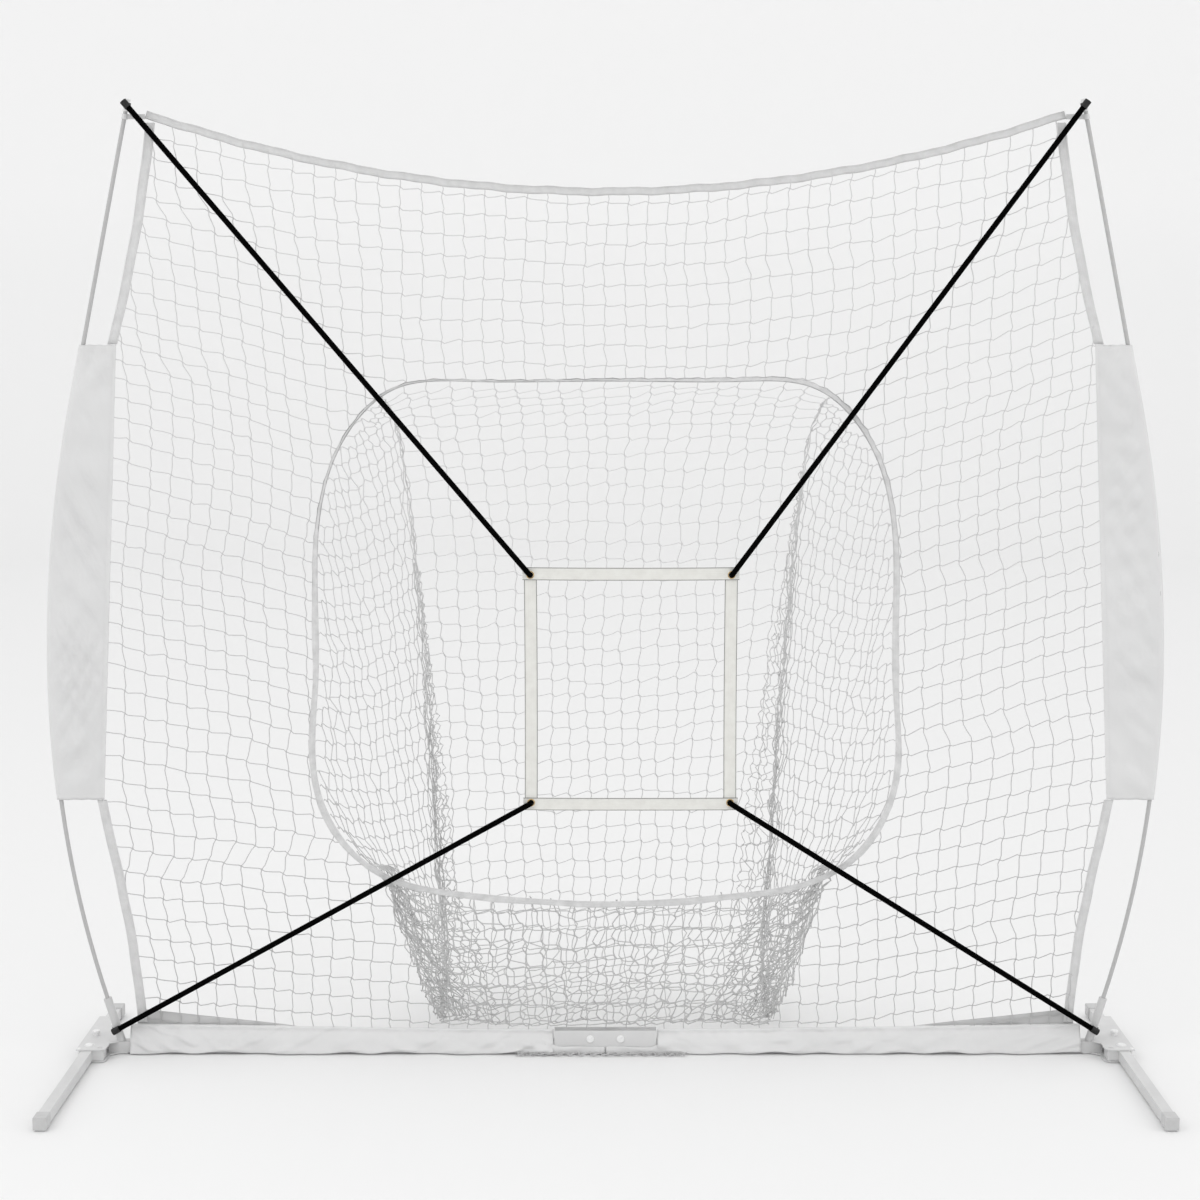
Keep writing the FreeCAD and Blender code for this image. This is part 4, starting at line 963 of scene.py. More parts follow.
def grid_net(strands, grid, kink, droop, jitter, thick=1.0):
    """Netting on a grid of points, with loose knots."""
    rows, cols = len(grid), len(grid[0])
    fixed = [[np.array(grid[i][j]) for j in range(cols)] for i in range(rows)]
    for i in range(rows):
        for j in range(cols):
            if 0 < i < rows - 1 and 0 < j < cols - 1:
                fixed[i][j] = fixed[i][j] + random.normal(0, jitter, 3) * (1, 0.5, 1)
            strands.knot(fixed[i][j])
    for i in range(rows):
        for j in range(cols):
            here = fixed[i][j]
            if i + 1 < rows:
                beside = fixed[i][j + 1] if j + 1 < cols else here + (here - fixed[i][j - 1])
                strands.add(upright_strand(here, fixed[i + 1][j], unit(beside - here), kink), thick)
            if j + 1 < cols and i > 0:
                strands.add(level_strand(here, fixed[i][j + 1], np.array((0, 0, -1.0)), droop), thick * 0.9)


def pocket_back_net():
    strands = Strands()
    rows = profile_points(BACK_PROFILE, BACK_HALVES, 36)
    grid = []
    for i, (y, z, half) in enumerate(rows):
        share = i / (len(rows) - 1)
        line = []
        for j in range(21):
            u = -1 + j / 10
            hang = 0.022 * (1 - u * u) * math.sin(math.pi * share)
            belly = 0.02 * u * u * share
            ripple = 0.004 * math.sin(3.3 * u + 9 * share) + 0.003 * math.sin(8 * u - 15 * share)
            drop = (BACK_PROFILE[0][1] - rim_top_z(u * BACK_HALVES[0])) * max(0.0, 1 - share / 0.3) ** 2
            line.append((u * half + ripple, y - belly - 0.002, z - hang + ripple - drop))
        if i == 0:
            line = [(x, 0.004, rim_top_z(x) + 0.003) for x, _, _ in line]
        grid.append(line)
    grid_net(strands, grid, 0.0022, 0.0042, 0.0022, thick=0.76)
    for side, columns, width, first in ((1, 5, 0.070, 0.24), (-1, 3, 0.030, 0.40)):
        bunch = []
        for k in range(34):
            share = first + (0.97 - first) * k / 33
            at = share * (len(rows) - 1)
            y, z, half = (np.interp(at, range(len(rows)), values) for values in zip(*rows))
            reach = width * (0.12 + 0.88 * smooth_step(share, first, 0.92))
            bunch.append([(side * (half - 0.004 - reach * (w / (columns - 1)) ** 1.3),
                           y - 0.045 + 0.01 * w / columns, z) for w in range(columns)])
        grid_net(strands, bunch, 0.0050, 0.0045, 0.0050, thick=0.8)
    return strands


def pocket_floor_net():
    """The pocket's floor, and its front wall up to the opening's lower edge."""
    strands = Strands()
    rows = profile_points(FLOOR_PROFILE, FLOOR_HALVES, 10)
    floor = [[(u * half, y, z + 0.006 * math.sin(9 * u + i)) for u in np.linspace(-1, 1, 21)]
             for i, (y, z, half) in enumerate(rows)]
    grid_net(strands, floor, 0.005, 0.003, 0.005)
    front_y, front_z, front_half = rows[-1]

    def wall_place(u, share, lean):
        top_x = u * 0.530
        top = np.array((top_x, 0.006, rim_low_z(top_x) - 0.004))
        low = np.array((u * front_half, front_y, front_z + 0.004))
        point = top * (1 - share) + low * share
        point[0] = top_x * (1 - share ** 0.8) + u * front_half * share ** 0.8
        point[1] += 0.02 * math.sin(math.pi * share) * (1 + math.sin(9 * u)) + lean * share
        ripple = (0.004 * math.sin(14 * share + 7 * u), 0, 0.006 * math.sin(16 * u + 3 * share))
        return point + np.array(ripple)

    middle = [[wall_place(u, i / 8, 0.0) for u in np.linspace(-0.78, 0.78, 18)] for i in range(9)]
    grid_net(strands, middle, 0.0040, 0.0045, 0.0034, thick=1.05)
    for side in (-1, 1):
        for lean, inner, columns in ((0.0, 0.66, 6), (0.03, 0.84, 4)):
            edge = [[wall_place(side * (inner + (1 - inner) * w), i / 15, lean)
                     for w in np.linspace(0, 1, columns)] for i in range(16)]
            grid_net(strands, edge, 0.0050, 0.004, 0.0060, thick=0.95)
    return strands


def side_front(share):
    """The side's front edge on the right: down the opening's outline, then to the floor."""
    outline = rim_right[rim_right[:, 0] > BACK_HALVES[0]]
    path = [(x, 0.006, z) for x, z in outline]
    path += [(0.49, 0.02, 0.34), (0.44, 0.05, 0.20), (0.392, 0.10, 0.045)]
    return line_point(path, share)


def side_back(share):
    """The side's back edge on the right: along the edges of the pocket's back and floor."""
    back = profile_points(BACK_PROFILE, BACK_HALVES, 30)
    floor = profile_points(FLOOR_PROFILE, FLOOR_HALVES, 10)
    path = []
    for k, (y, z, half) in enumerate(back):
        drop = (BACK_PROFILE[0][1] - rim_top_z(BACK_HALVES[0])) * max(0.0, 1 - k / 29 / 0.3) ** 2
        path.append((half, y - 0.022 * k / 29, z - drop))
    path += [(half, y, z) for y, z, half in floor[1:]]
    return line_point(path, share)


def line_point(path, share):
    path = np.array(path, float)
    along = np.concatenate([[0], np.cumsum(np.linalg.norm(np.diff(path, axis=0), axis=1))])
    at = share * along[-1]
    return np.array([np.interp(at, along, path[:, k]) for k in range(3)])


def pocket_side_net():
    """A gusset: rows run from the seam at the back to the opening, columns run along the seam."""
    strands = Strands()
    count = 46
    gaps = [0, 0.016, 0.034, 0.054, 0.076, 0.101, 0.128, 0.157, 0.188, 0.221, 0.255, 0.290, 0.326,
            0.362, 0.399, 0.436, 0.473, 0.510, 0.547, 0.584]
    rows = []
    for i in range(count):
        share = i / (count - 1)
        front, back = side_front(share), side_back(share)
        width = np.linalg.norm(front - back)
        row = []
        for k, gap in enumerate(gaps):
            if gap < width - 0.012:
                t = gap / width
                slack = 0.03 * math.sin(math.pi * t) * min(1.0, width / 0.3)
                point = back + (front - back) * t
                point = point + np.array((slack * 0.6, 0, -slack)) + random.normal(0, 0.0035, 3)
                row.append(point)
        row.append(front)
        rows.append(row)
    down = np.array((0, 0, -1.0))
    for i, row in enumerate(rows):
        for k, here in enumerate(row[:-1]):
            strands.knot(here)
            strands.add(level_strand(here, row[k + 1], down, 0.0035), 0.8)
            if i + 1 < count and k < len(rows[i + 1]) - 1:
                side = unit(row[k + 1] - here)
                strands.add(upright_strand(here, rows[i + 1][k], side, 0.0025), 0.8)
    for first, wander, number in ((0.02, 0.0035, 2), (0.30, 0.006, 2), (0.52, 0.009, 3)):
        seam = [side_back(s) for s in np.linspace(first, 0.985, 60)]
        for _ in range(number):
            drift = random.uniform(-1.2, 1.6) * wander
            shifted = [p + np.array((drift, -abs(drift), 0)) for p in seam]
            reach = random.uniform(0.7, 1.2) * wander
            strands.add(loose_strand(shifted, (1, 0, 0), (0, 1, 0), reach), 0.85)
    gather = [side_front(s) for s in np.linspace(0.725, 0.995, 30)]
    for k in range(9):
        drift = -0.0085 * k
        wide = np.linspace(0.35, 1.0, len(gather))
        shifted = [p + np.array((drift * w, 0.012 + 0.001 * k, 0)) for p, w in zip(gather, wide)]
        strands.add(loose_strand(shifted, (1, 0, 0), (0, 1, 0), random.uniform(0.004, 0.009)), 0.9)
    return strands


def mirrored(strands):
    flip = np.array((-1.0, 1.0, 1.0))
    other = Strands()
    other.points = [np.array(p) * flip for p in strands.points]
    other.edges = list(strands.edges)
    other.thick = list(strands.thick)
    other.knots = [np.array(p) * flip for p in strands.knots]
    return other


def pocket_left_net():
    return mirrored(pocket_side_net())


for place, part, build in (("back", "back", pocket_back_net), ("floor", "floor", pocket_floor_net),
                           ("right", "right_side", pocket_side_net), ("left", "left_side", pocket_left_net)):
    netting_object("pocket_" + place + "_twine", build(), POCKET_TWINE_R, POCKET_KNOT_R, LIT_POCKET_TWINE,
                   ["pocket_" + part])

# ---- edge tapes ----------------------------------------------------------------------------
def tape_piece(name, runs, width, thick, material, nodes, inset=0.004, pitch=0.0055):
    """Tape along some lines: each run is (points, inward directions); stitched along both edges."""
    parts = []
    lines = []
    for points, inward in runs:
        points, inward = np.array(points), np.array(inward)
        normal = np.tile((0.0, 1.0, 0.0), (len(points), 1))
        centre = points + inward * (width / 2)
        section = tape_section(width, thick, thick * 0.08)
        parts.append((sweep(name, centre, inward, normal, section), material))
        for face in (-1, 1):
            for place in (inset, width - inset):
                lines.append(points + inward * place + normal * (face * thick / 2))
    parts.append((stitches(lines, pitch, 0.00045, TAPE_THREAD), TAPE_THREAD))
    made = joined(name, parts)
    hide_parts(*nodes)
    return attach(made, "frame")


def top_edge_run():
    points, inward = [], []
    for k in range(141):
        x = NET_CORNER_X * (2 * k / 140 - 1) * 0.9985
        wave = 0.0010 * math.sin(41 * x) + 0.0007 * math.sin(97 * x + 1)
        points.append((x, 0.0004 * math.sin(60 * x), net_top_z(x) + wave - 0.0008))
        slope = 2 * NET_TOP_SAG * x / NET_CORNER_X ** 2
        inward.append(unit((slope, 0, -1)))
    return points, inward


def side_runs(side):
    """Runs above and below the sleeve on one side, following the net's edge."""
    runs = []
    for low, high in ((SLEEVE_HIGH + 0.0015, NET_CORNER_Z - 0.028),
                      (NET_BOTTOM_Z + 0.001, SLEEVE_LOW - 0.0015)):
        points, inward = [], []
        for z in np.linspace(low, high, 40):
            x = tape_outer_x(z) + 0.0006 * math.sin(39 * z)
            points.append((side * x, 0.0004 * math.sin(50 * z), z))
            inward.append((-side, 0, 0))
        runs.append((points, inward))
    return runs


for edge, runs, width in (("top", [top_edge_run()], TOP_TAPE_WIDTH), ("left", side_runs(-1), SIDE_TAPE_WIDTH),
                          ("right", side_runs(1), SIDE_TAPE_WIDTH)):
    tape_piece(edge + "_edge_tape", runs, width, TAPE_T, EDGE_TAPE, [edge + "_edge_webbing"])


def rim_binding():
    """Tape round the opening: drawn together into a cord at the top, flat below."""
    count = len(rim_loop)
    points, uvs, faces, lines = [], [], [], ([], [])
    along = 0.0
    for i, (x, z) in enumerate(rim_loop):
        outward = unit((x, 0, z - RIM_MIDDLE_Z))
        high = smooth_step(z, 0.9, 1.45)
        crimp = math.sin(150 * along) * math.sin(47 * along + 1)
        drawn = smooth_step(x, -0.08, 0.36)
        loose = 0.0022 * math.sin(21 * along) * math.sin(8 * along + 1)
        width = (0.0155 + loose) * (1 - high) + (0.0070 + 0.0060 * drawn) * high
        width += 0.0014 * crimp * (0.4 + high)
        thick = 0.0022 * (1 - high) + 0.0042 * high
        centre = np.array((x, -0.0031 + 0.0006 * math.sin(33 * along), z)) + outward * width / 2
        section = tape_section(width, thick)
        for across, deep in section:
            points.append(centre + outward * across + np.array((0, deep, 0)))
            uvs.append((along, across))
        for line, edge in zip(lines, (-0.3, 0.3)):
            line.append(centre + outward * edge * width + np.array((0, -thick / 2, 0)))
        along += math.dist(rim_loop[i], rim_loop[(i + 1) % count])
    m = len(section)
    for i in range(count):
        for j in range(m):
            k, n = (j + 1) % m, (i + 1) % count
            faces.append((i * m + j, i * m + k, n * m + k, n * m + j))
    tape = facing_out(mesh_of("rim_tape", points, faces, uvs))
    thread = stitches([line + line[:1] for line in lines], 0.006, 0.00045, TAPE_THREAD)
    made = joined("pocket_rim_tape", [(tape, RIM_TAPE), (thread, TAPE_THREAD)])
    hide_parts("pocket_rim_binding")
    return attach(made, "frame")


rim_binding()
NODES["net_corner_straps"].data.materials.clear()
NODES["net_corner_straps"].data.materials.append(cloth("corner_strap_web", 216, 5, 0.0014, 0.0002))

# ---- pole sleeves and skirts ---------------------------------------------------------------
def closed_cloth(name, rings, thick):
    """A cloth tube from rings of points, with a real thickness and turned edges."""
    rings = np.array(rings)
    n, m = rings.shape[:2]
    along = np.gradient(rings, axis=0)
    around = np.roll(rings, -1, axis=1) - np.roll(rings, 1, axis=1)
    normals = np.cross(along, around)
    normals /= np.maximum(np.linalg.norm(normals, axis=2), 1e-9)[:, :, None]
    middle = rings.mean(axis=1, keepdims=True)
    if ((rings - middle) * normals).sum() < 0:
        normals = -normals
    inner = rings - normals * thick
    points = np.concatenate([rings.reshape(-1, 3), inner.reshape(-1, 3)])
    faces = []
    for i in range(n - 1):
        for j in range(m):
            k = (j + 1) % m
            a, b, c, d = i * m + j, i * m + k, (i + 1) * m + k, (i + 1) * m + j
            faces.append((a, b, c, d))
            faces.append(tuple(n * m + v for v in (d, c, b, a)))
    for i in (0, n - 1):
        for j in range(m):
            k = (j + 1) % m
            faces.append((i * m + j, i * m + k, n * m + i * m + k, n * m + i * m + j))
    return facing_out(mesh_of(name, points, faces))


def folds(p, q, seed, count, size):
    """Soft slanting folds, as a height over a sheet's own coordinates in metres."""
    source = np.random.default_rng(seed)
    height = 0.0
    for _ in range(count):
        slant = source.uniform(-0.9, 0.9)
        pitch = source.uniform(0.05, 0.16)
        centre = source.uniform(0, 1.1)
        spread = source.uniform(0.08, 0.22)
        phase = source.uniform(0, 6.28)
        here = np.exp(-((q - centre) / spread) ** 2)
        ridge = np.sin(2 * math.pi * (q + slant * p * 2.2) / pitch + phase)
        height = height + here * ridge * source.uniform(0.3, 1)
    return size * height


def sleeve(side):
    """A flat tube of cloth: the pole in its outer edge, the net sewn to its inner edge."""
    rings = []
    around = 56
    for v in np.linspace(0, 1, 150):
        z = SLEEVE_LOW + (SLEEVE_HIGH - SLEEVE_LOW) * v
        pole = pole_at(z)[0].x
        inner = net_edge_x(z) + 0.0004
        outer = pole + 0.0093
        width = outer - inner
        ring = []
        hem = math.exp(-((v - 0.0) / 0.012) ** 2) + math.exp(-((v - 1.0) / 0.012) ** 2)
        for k in range(around):
            turn = 2 * math.pi * k / around
            t = 0.5 - 0.5 * math.cos(turn)
            face = -1 if turn < math.pi else 1
            across = t ** 0.85
            x = inner + width * across
            near_pole = math.exp(-((x - pole) / 0.016) ** 2)
            half = 0.0014 + 0.0050 * math.sin(math.pi * min(1, across)) ** 0.8 + 0.0042 * near_pole
            half *= math.sqrt(max(0.0, 1 - max(0, (x - pole + 0.002) / 0.0115) ** 2)) if x > pole else 1
            room = math.sin(math.pi * across) ** 0.7
            crease = folds(across * width, v * 1.03, 11 + (face > 0) * 5 + (side > 0) * 3, 30, 0.0034)
            tight = 1 - 0.75 * near_pole
            y = face * half + crease * room * tight
            y = min(y, -0.0006) if face < 0 else max(y, 0.0006)
            lift = 0.0012 * math.sin(23 * across + 3 * side) * (hem > 0.2)
            ring.append((side * x, y * (1 + 0.12 * hem), z + lift * (1 if v > 0.5 else -1) * 0.5))
        rings.append(ring)
    cover = closed_cloth("sleeve_cloth", rings, SLEEVE_T)
    lines = []
    for v in (0.012, 0.988):
        ring = rings[int(round(v * 149))]
        lines.append([np.array(p) + (0, -0.0002, 0) for p in ring[2:27]])
        lines.append([np.array(p) + (0, 0.0002, 0) for p in ring[30:54]])
    inner_seam = [np.array(ring[4]) + (0, -0.0003, 0) for ring in rings[2:-2]]
    lines.append(inner_seam)
    thread = stitches(lines, 0.005, 0.00042, TAPE_THREAD)
    name = ("right" if side > 0 else "left") + "_sleeve_cloth"
    made = joined(name, [(cover, SLEEVE_CLOTH), (thread, TAPE_THREAD)])
    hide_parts(("right" if side > 0 else "left") + "_pole_sleeve")
    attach(made, "frame")
    return made, rings


for side, label in ((-1, "left"), (1, "right")):
    cover, rings = sleeve(side)


def slab(name, front, thick):
    """A thin closed sheet from a grid of points, thickened backward."""
    front = np.array(front)
    n, m = front.shape[:2]
    back = front + np.array((0, thick, 0))
    points = np.concatenate([front.reshape(-1, 3), back.reshape(-1, 3)])
    faces = []
    for i in range(n - 1):
        for j in range(m - 1):
            a, b, c, d = i * m + j, i * m + j + 1, (i + 1) * m + j + 1, (i + 1) * m + j
            faces.append((a, b, c, d))
            faces.append(tuple(n * m + v for v in (d, c, b, a)))
    for i in range(n - 1):
        for j in (0, m - 1):
            a, b = i * m + j, (i + 1) * m + j
            faces.append((a, b, n * m + b, n * m + a))
    for j in range(m - 1):
        for i in (0, n - 1):
            a, b = i * m + j, i * m + j + 1
            faces.append((a, b, n * m + b, n * m + a))
    return facing_out(mesh_of(name, points, faces))


def skirt(side):
    """Cloth round the base bar, drawn together on top, with a strip in front of the hinge."""
    rings = []
    start, end = SKIRT_START_X, SKIRT_END_X
    section = [(0.0, 1.0), (-0.0024, 0.985), (-0.0040, 0.90), (-0.0085, 0.72), (-0.0150, 0.52),
               (-0.0162, 0.38), (-0.0164, 0.20), (-0.0163, 0.08), (-0.0158, 0.03), (-0.0120, 0.012),
               (0.0, 0.010), (0.0120, 0.012), (0.0158, 0.03), (0.0163, 0.08), (0.0164, 0.20),
               (0.0162, 0.38), (0.0150, 0.52), (0.0085, 0.72), (0.0040, 0.90), (0.0024, 0.985)]
    smooth = spline(section + section[:1], 65)[:-1]
    for x in np.linspace(start, end, 190):
        top = skirt_top_z(x)
        hem = 0.0008 + 0.0028 * (1 + math.sin(17 * x + side)) * (0.6 + 0.4 * math.sin(47 * x + 2 * side))
        ring = []
        for y, up in smooth:
            z = up * top
            front = -1 if y < 0 else 1
            fold = folds(z * 1.5, x, 31 + (side > 0) * 7 + (front > 0) * 3, 26, 0.0030)
            loose = smooth_step(up, 0.02, 0.2) * (1 - 0.6 * smooth_step(up, 0.7, 1.0))
            gather = 0.0009 * math.sin(210 * x + 5 * up)
            gather *= smooth_step(up, 0.55, 0.95)
            gather *= 1 - smooth_step(up, 0.96, 1)
            push = max(fold * loose, -0.0010) + gather
            y_out = y + front * push
            low_lift = hem * (1 - smooth_step(up, 0.0, 0.3))
            wave = 0.5 + 0.5 * math.sin(23 * x + 2 * side) * math.sin(9 * x + 1) + 0.25 * math.sin(61 * x)
            outward = 0.0075 * max(0.0, wave) * (1 - smooth_step(up, 0.0, 0.5))
            ring.append((side * x, y_out + front * outward * (abs(y) > 0.005),
                         max(0.0008, z + low_lift)))
        rings.append(ring)
    body = closed_cloth("skirt_cloth", rings, SKIRT_T)
    strip = []
    for x in np.linspace(0.0015, start + 0.02, 40):
        top = 0.0175 + 0.0012 * math.sin(40 * x + side) + 0.010 * smooth_step(x, 0.10, start + 0.015)
        line = [(side * x, -0.0172 - 0.0012 * math.sin(math.pi * t) - 0.0006 * math.sin(60 * x + 4 * t),
                 0.0012 + t * top) for t in np.linspace(0, 1, 9)]
        strip.append(line)
    # The flap behind the net, in the darker cloth that stands in for its shade.
    flap = []
    for x in np.linspace(0.715, 1.083, 60):
        share = (x - 0.715) / 0.368
        top = skirt_top_z(x) - 0.002 + 0.036 * share ** 0.9
        line = [(side * x, 0.0040 + 0.0012 * math.sin(15 * x + 3 * t), 0.050 + t * (top - 0.050))
                for t in np.linspace(0, 1, 7)]
        flap.append(line)
    name = ("right" if side > 0 else "left") + "_skirt_cloth"
    seam = [np.array((side * x, -0.0052, skirt_top_z(x) * 0.86))
            for x in np.linspace(start + 0.004, end - 0.004, 120)]
    thread = stitches([seam], 0.0055, 0.0004, TAPE_THREAD)
    parts = [(body, SKIRT_CLOTH), (slab("strip", strip, SKIRT_T), SKIRT_CLOTH),
             (slab("flap", flap, SKIRT_T), SHADED_FLAP_CLOTH), (thread, TAPE_THREAD)]
    made = joined(name, parts)
    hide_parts(("right" if side > 0 else "left") + "_base_skirt")
    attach(made, "frame")
    return made, rings


for side, label in ((-1, "left"), (1, "right")):
    cover, rings = skirt(side)

# ---- target --------------------------------------------------------------------------------
top_box, bottom_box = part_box("target_top_strap"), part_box("target_bottom_strap")
TARGET_LEFT, TARGET_RIGHT = top_box[0].x, top_box[1].x
TARGET_HIGH, TARGET_LOW = top_box[1].z, bottom_box[0].z
STITCH_REACH = 0.0115


def strap_piece(name, line, across, nodes, ends):
    """One strap of the target with stitched edges and a stitched box at each end."""
    line = np.array(line)
    normal = np.tile((0.0, -1.0, 0.0), (len(line), 1))
    across = np.tile(across, (len(line), 1)).astype(float)
    body = sweep(name, line, across, normal, tape_section(STRAP, STRAP_T, 0.0001))
    face = line + normal * (STRAP_T / 2)
    back = line - normal * (STRAP_T / 2)
    lines = []
    for surface in (face, back):
        for place in (-STITCH_REACH, STITCH_REACH):
            lines.append(surface[1:-1] + across[1:-1] * place)
    step = unit(line[-1] - line[0])
    for near in ends:
        for offset in near:
            base = line[0] + step * offset
            lines.append([base + across[0] * w - np.array((0, STRAP_T / 2 + 0.0001, 0))
                          for w in np.linspace(-STITCH_REACH, STITCH_REACH, 8)])
    thread = stitches(lines, 0.0036, 0.00036, TARGET_THREAD)
    made = joined(name, [(body, TARGET_WEBBING), (thread, TARGET_THREAD)])
    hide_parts(*nodes)
    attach(made, "target")
    return made


def level_line(z, bow):
    xs = np.linspace(TARGET_LEFT, TARGET_RIGHT, 60)
    return [(x, TARGET_Y - STRAP_T / 2 + 0.0002 * math.sin(25 * x),
             z + bow * (1 - (2 * (x - TARGET_LEFT) / (TARGET_RIGHT - TARGET_LEFT) - 1) ** 2)) for x in xs]


def side_line(x, bow):
    zs = np.linspace(TARGET_LOW + 0.004, TARGET_HIGH - 0.004, 60)
    return [(x + bow * (1 - (2 * (z - TARGET_LOW) / (TARGET_HIGH - TARGET_LOW) - 1) ** 2),
             TARGET_Y + STRAP_T / 2 + 0.0002 * math.sin(19 * z), z) for z in zs]


width = TARGET_RIGHT - TARGET_LEFT
height = TARGET_HIGH - TARGET_LOW - 0.008
level_ends = ((0.004, 0.033), (width - 0.033, width - 0.004))
side_ends = ((0.030,), (height - 0.030,))
STRAPS = (("top", level_line(TARGET_HIGH - STRAP / 2, -0.0015), (0, 0, 1), level_ends, width),
          ("bottom", level_line(TARGET_LOW + STRAP / 2, -0.001), (0, 0, 1), level_ends, width),
          ("left", side_line(TARGET_LEFT + 0.003 + STRAP / 2, 0.0012), (1, 0, 0), side_ends, height),
          ("right", side_line(TARGET_RIGHT - 0.003 - STRAP / 2, -0.0012), (1, 0, 0), side_ends, height))
for label, line, across, ends, long in STRAPS:
    strap = strap_piece("target_" + label + "_webbing", line, across, ["target_" + label + "_strap"], ends)

GROMMETS = {}
for up, z in (("top", TARGET_HIGH - GROMMET_INSET), ("bottom", TARGET_LOW + GROMMET_INSET)):
    for end, x in (("left", TARGET_LEFT + GROMMET_INSET), ("right", TARGET_RIGHT - GROMMET_INSET)):
        GROMMETS[up + "_" + end] = Vector((x, TARGET_Y, z))


def lathe(name, profile, centre, steps=40):
    """A ring turned about an axis along y: the profile is (radius, y)."""
    points, faces = [], []
    m = len(profile)
    for i in range(steps):
        turn = 2 * math.pi * i / steps
        for radius, y in profile:
            points.append((centre[0] + radius * math.cos(turn), centre[1] + y,
                           centre[2] + radius * math.sin(turn)))
    for i in range(steps):
        for j in range(m):
            a, b = i * m + j, i * m + (j + 1) % m
            c, d = ((i + 1) % steps) * m + (j + 1) % m, ((i + 1) % steps) * m + j
            faces.append((a, b, c, d))
    return facing_out(mesh_of(name, points, faces))


def grommets():
    """Rolled rings through both straps."""
    half = STRAP_T + GROMMET_LIP
    bore, lip = GROMMET_BORE, GROMMET_EDGE
    front = [(bore, half * 0.4), (bore + 0.0001, half + 0.0001), (bore + 0.0007, half + 0.0005),
             (lip - 0.0005, half + 0.0003), (lip, half - 0.0004), (lip + 0.0001, STRAP_T + 0.0001),
             (bore + 0.0009, STRAP_T + 0.0001)]
    profile = [(radius, -y) for radius, y in front] + front[::-1]
    rings = [(lathe("ring", profile, place), BRASS) for place in GROMMETS.values()]
    made = joined("target_grommet_rings", rings)
    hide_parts("target_grommets")
    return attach(made, "target")


grommets()

# ---- elastic cords -------------------------------------------------------------------------
def elbow_centre(place):
    return place - Vector((0, STRAP_T + GROMMET_LIP + ELBOW_R + FIT, 0))


def cord_line(name):
    """Both ends of a cord's straight run, and the direction from its clip to the target."""
    elbow = elbow_centre(GROMMETS[name])
    side = 1 if name.endswith("right") else -1
    top = name.startswith("top")
    held = pole_at(POLE_TOP_Z - 0.011 if top else 0.058)[0]
    reach = (CAP_R if top else SOCKET_R) + FIT + CLIP_BARREL_R
    centre = Vector((side * held.x, -reach, held.z))
    toward = (elbow - centre).normalized()
    return elbow - toward * (ELBOW_R + 0.0001), centre + toward * (CLIP_BARREL / 2), toward


def nurbs_points(name, route):
    """Points along a smooth curve whose route is given."""
    curve = bpy.data.curves.new(name, "CURVE")
    curve.dimensions = "3D"
    run = curve.splines.new("NURBS")
    run.points.add(len(route) - 1)
    for point, place in zip(run.points, route):
        point.co = (*place, 1.0)
    run.order_u = 3
    run.use_endpoint_u = True
    run.resolution_u = 12
    holder = new_object(name + "_line", curve)
    bpy.context.view_layer.update()
    evaluated = holder.evaluated_get(bpy.context.evaluated_depsgraph_get())
    line = bpy.data.meshes.new_from_object(evaluated)
    points = [np.array(v.co) for v in line.vertices]
    bpy.data.objects.remove(holder)
    bpy.data.meshes.remove(line)
    bpy.data.curves.remove(curve)
    return points


def trefoil(centre, size):
    """A stop knot's path about a point."""
    path = []
    for t in np.linspace(0.15, 6.13, 70):
        x = math.sin(t) + 2 * math.sin(2 * t)
        z = math.cos(t) - 2 * math.cos(2 * t)
        y = -math.sin(3 * t)
        path.append(np.array(centre) + np.array((x, y * 0.85, z)) * size / 3)
    return path


knot_parts = []
for name, place in GROMMETS.items():
    start, end, toward = cord_line(name)
    route = [start.lerp(end, k / 7) for k in range(8)]
    path = nurbs_points(name, route)
    body = joined(name + "_elastic", [(tube(name, path, CORD_R, 16), CORD_COVER)])
    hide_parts(name + "_cord")
    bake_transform(body)
    elbow = elbow_centre(place)
    behind = place + Vector((0, 0.008, 0))
    turn = [behind.lerp(elbow + Vector((0, 0.0062, 0)), k / 5) for k in range(6)]
    first, last = turn[-1], start + toward * 0.0001
    for k in range(1, 11):
        t = k / 10
        turn.append(first * (1 - t) ** 2 + elbow * 2 * t * (1 - t) + last * t ** 2)
    knot_parts.append((tube("elbow", [tuple(p) for p in turn], CORD_R * 0.97, 14), CORD_COVER))
    loops = trefoil(place + Vector((0, 0.0105, 0)), 0.0054)
    knot_parts.append((tube("knot", loops, 0.0029, 10), CORD_COVER))
knots = joined("target_cord_ends", knot_parts)
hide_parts("target_cord_knots")
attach(knots, "target")

# ---- floor, backdrop and light -------------------------------------------------------------
FLOOR_Z = -0.0006
FLAT_R = 9.0
WALL_FOOT_R = 11.0
WALL_CURVE = 2.0
WALL_TOP_Z = 4.6


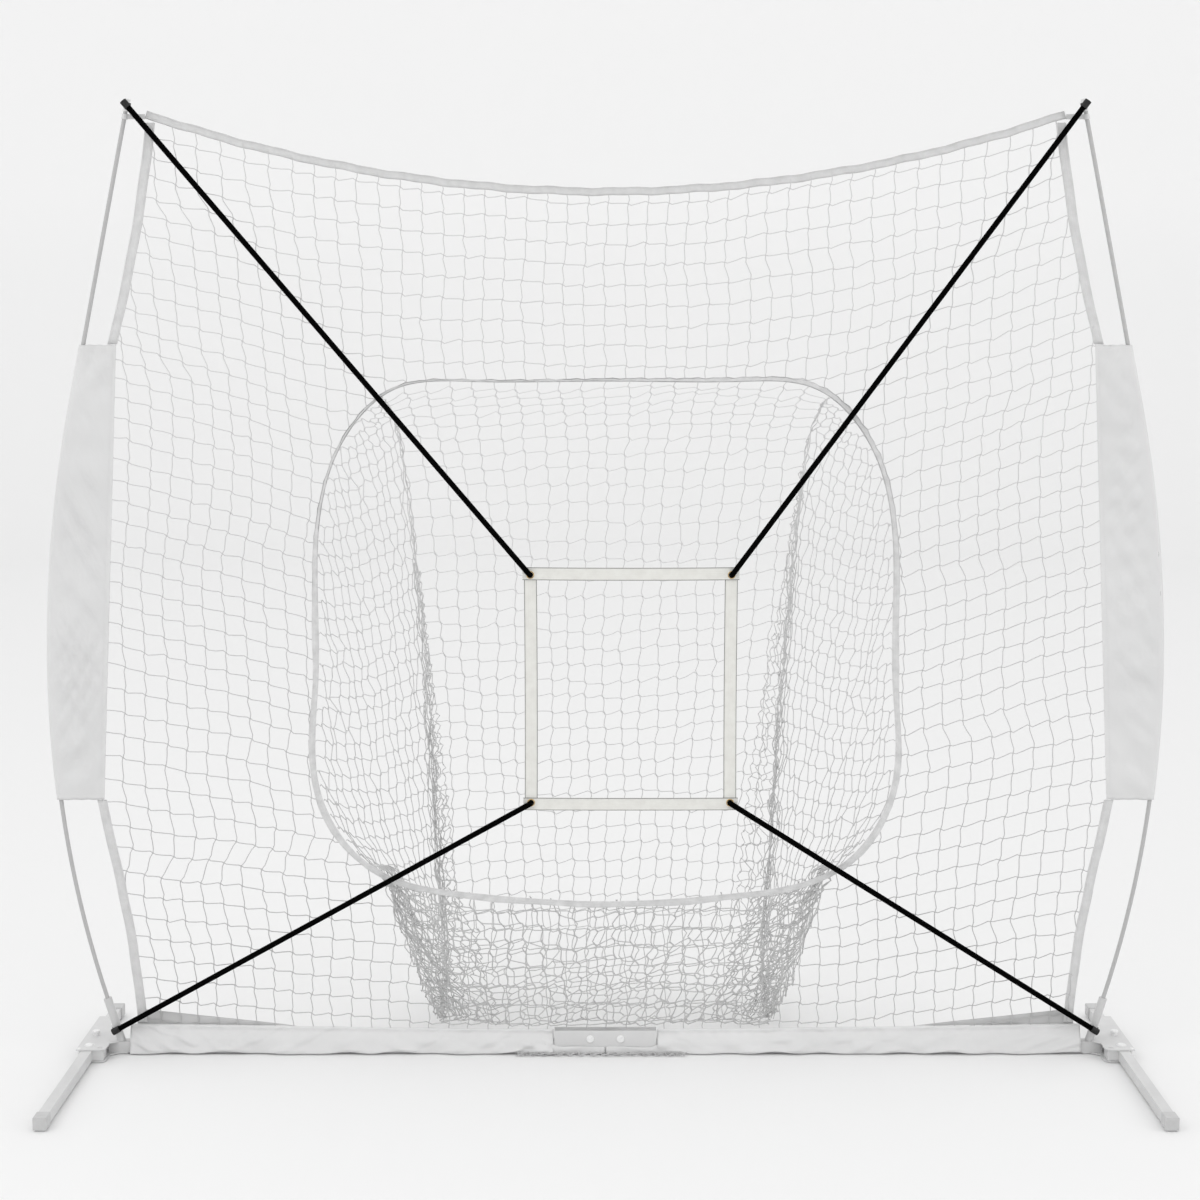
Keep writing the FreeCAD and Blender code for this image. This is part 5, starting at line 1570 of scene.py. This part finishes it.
def backdrop():
    """A round floor that curves up into a wall."""
    line = [(FLAT_R, FLOOR_Z)]
    line += [(WALL_FOOT_R + WALL_CURVE * math.sin(turn), WALL_CURVE - WALL_CURVE * math.cos(turn) + FLOOR_Z)
             for turn in np.linspace(0, math.pi / 2, 13)]
    line.append((WALL_FOOT_R + WALL_CURVE, WALL_TOP_Z))
    steps, rings = 72, len(line)
    points = [(0.0, 0.0, FLOOR_Z)]
    for reach, z in line:
        turns = [2 * math.pi * k / steps for k in range(steps)]
        points += [(reach * math.cos(turn), reach * math.sin(turn), z) for turn in turns]
    faces = [(0, 1 + k, 1 + (k + 1) % steps) for k in range(steps)]
    for ring in range(rings - 1):
        for k in range(steps):
            a, b = 1 + ring * steps + k, 1 + ring * steps + (k + 1) % steps
            faces.append((a, a + steps, b + steps, b))
    mesh = mesh_of("backdrop", points, faces)
    finish = Finish("backdrop_paint")
    split = add(finish.nodes, "ShaderNodeSeparateXYZ")
    finish.links.new(finish.place, split.inputs[0])
    # Painted light: the backdrop is painted darker on the floor and lighter up the wall, offsetting the
    # brighter light on the floor and the shade on the wall so that it renders evenly bright.
    rise = finish.ranged(split.outputs["Z"], 0.0, 1.0, -0.5, 2.6)
    mixed = finish.math("ADD", rise, finish.math("MULTIPLY", finish.noise(0.6, 3), 0.02))
    finish.colour(mixed, tones(238), tones(251), 0.0, 1.0)
    finish.rough(finish.noise(30, 2), 0.85, 0.95)
    finish.bump(finish.noise(200, 2), 0.00005)
    mesh.materials.append(finish.set(Specular_IOR_Level=0.1))
    made = new_object("backdrop", mesh)


backdrop()


def area_light(name, place, aim, size, power):
    data = bpy.data.lights.new(name, "AREA")
    data.shape = "RECTANGLE"
    data.size, data.size_y = size
    data.energy = power
    light = bpy.data.objects.new(name, data)
    light.location = place
    light.rotation_euler = (Vector(aim) - Vector(place)).to_track_quat("-Z", "Y").to_euler()
    scene.collection.objects.link(light)


LIGHT_AIM = (0, 0, 1.0)
LIGHT_SIZE = (2.6, 2.6)
area_light("key", (-3.6, -3.4, 4.8), LIGHT_AIM, LIGHT_SIZE, 42)
area_light("fill", (4.4, -2.0, 2.4), LIGHT_AIM, LIGHT_SIZE, 18)
world = bpy.data.worlds.new("studio")
world.use_nodes = True
world.node_tree.nodes["Background"].inputs["Color"].default_value = (1, 1, 1, 1)
world.node_tree.nodes["Background"].inputs["Strength"].default_value = 0.99
scene.world = world
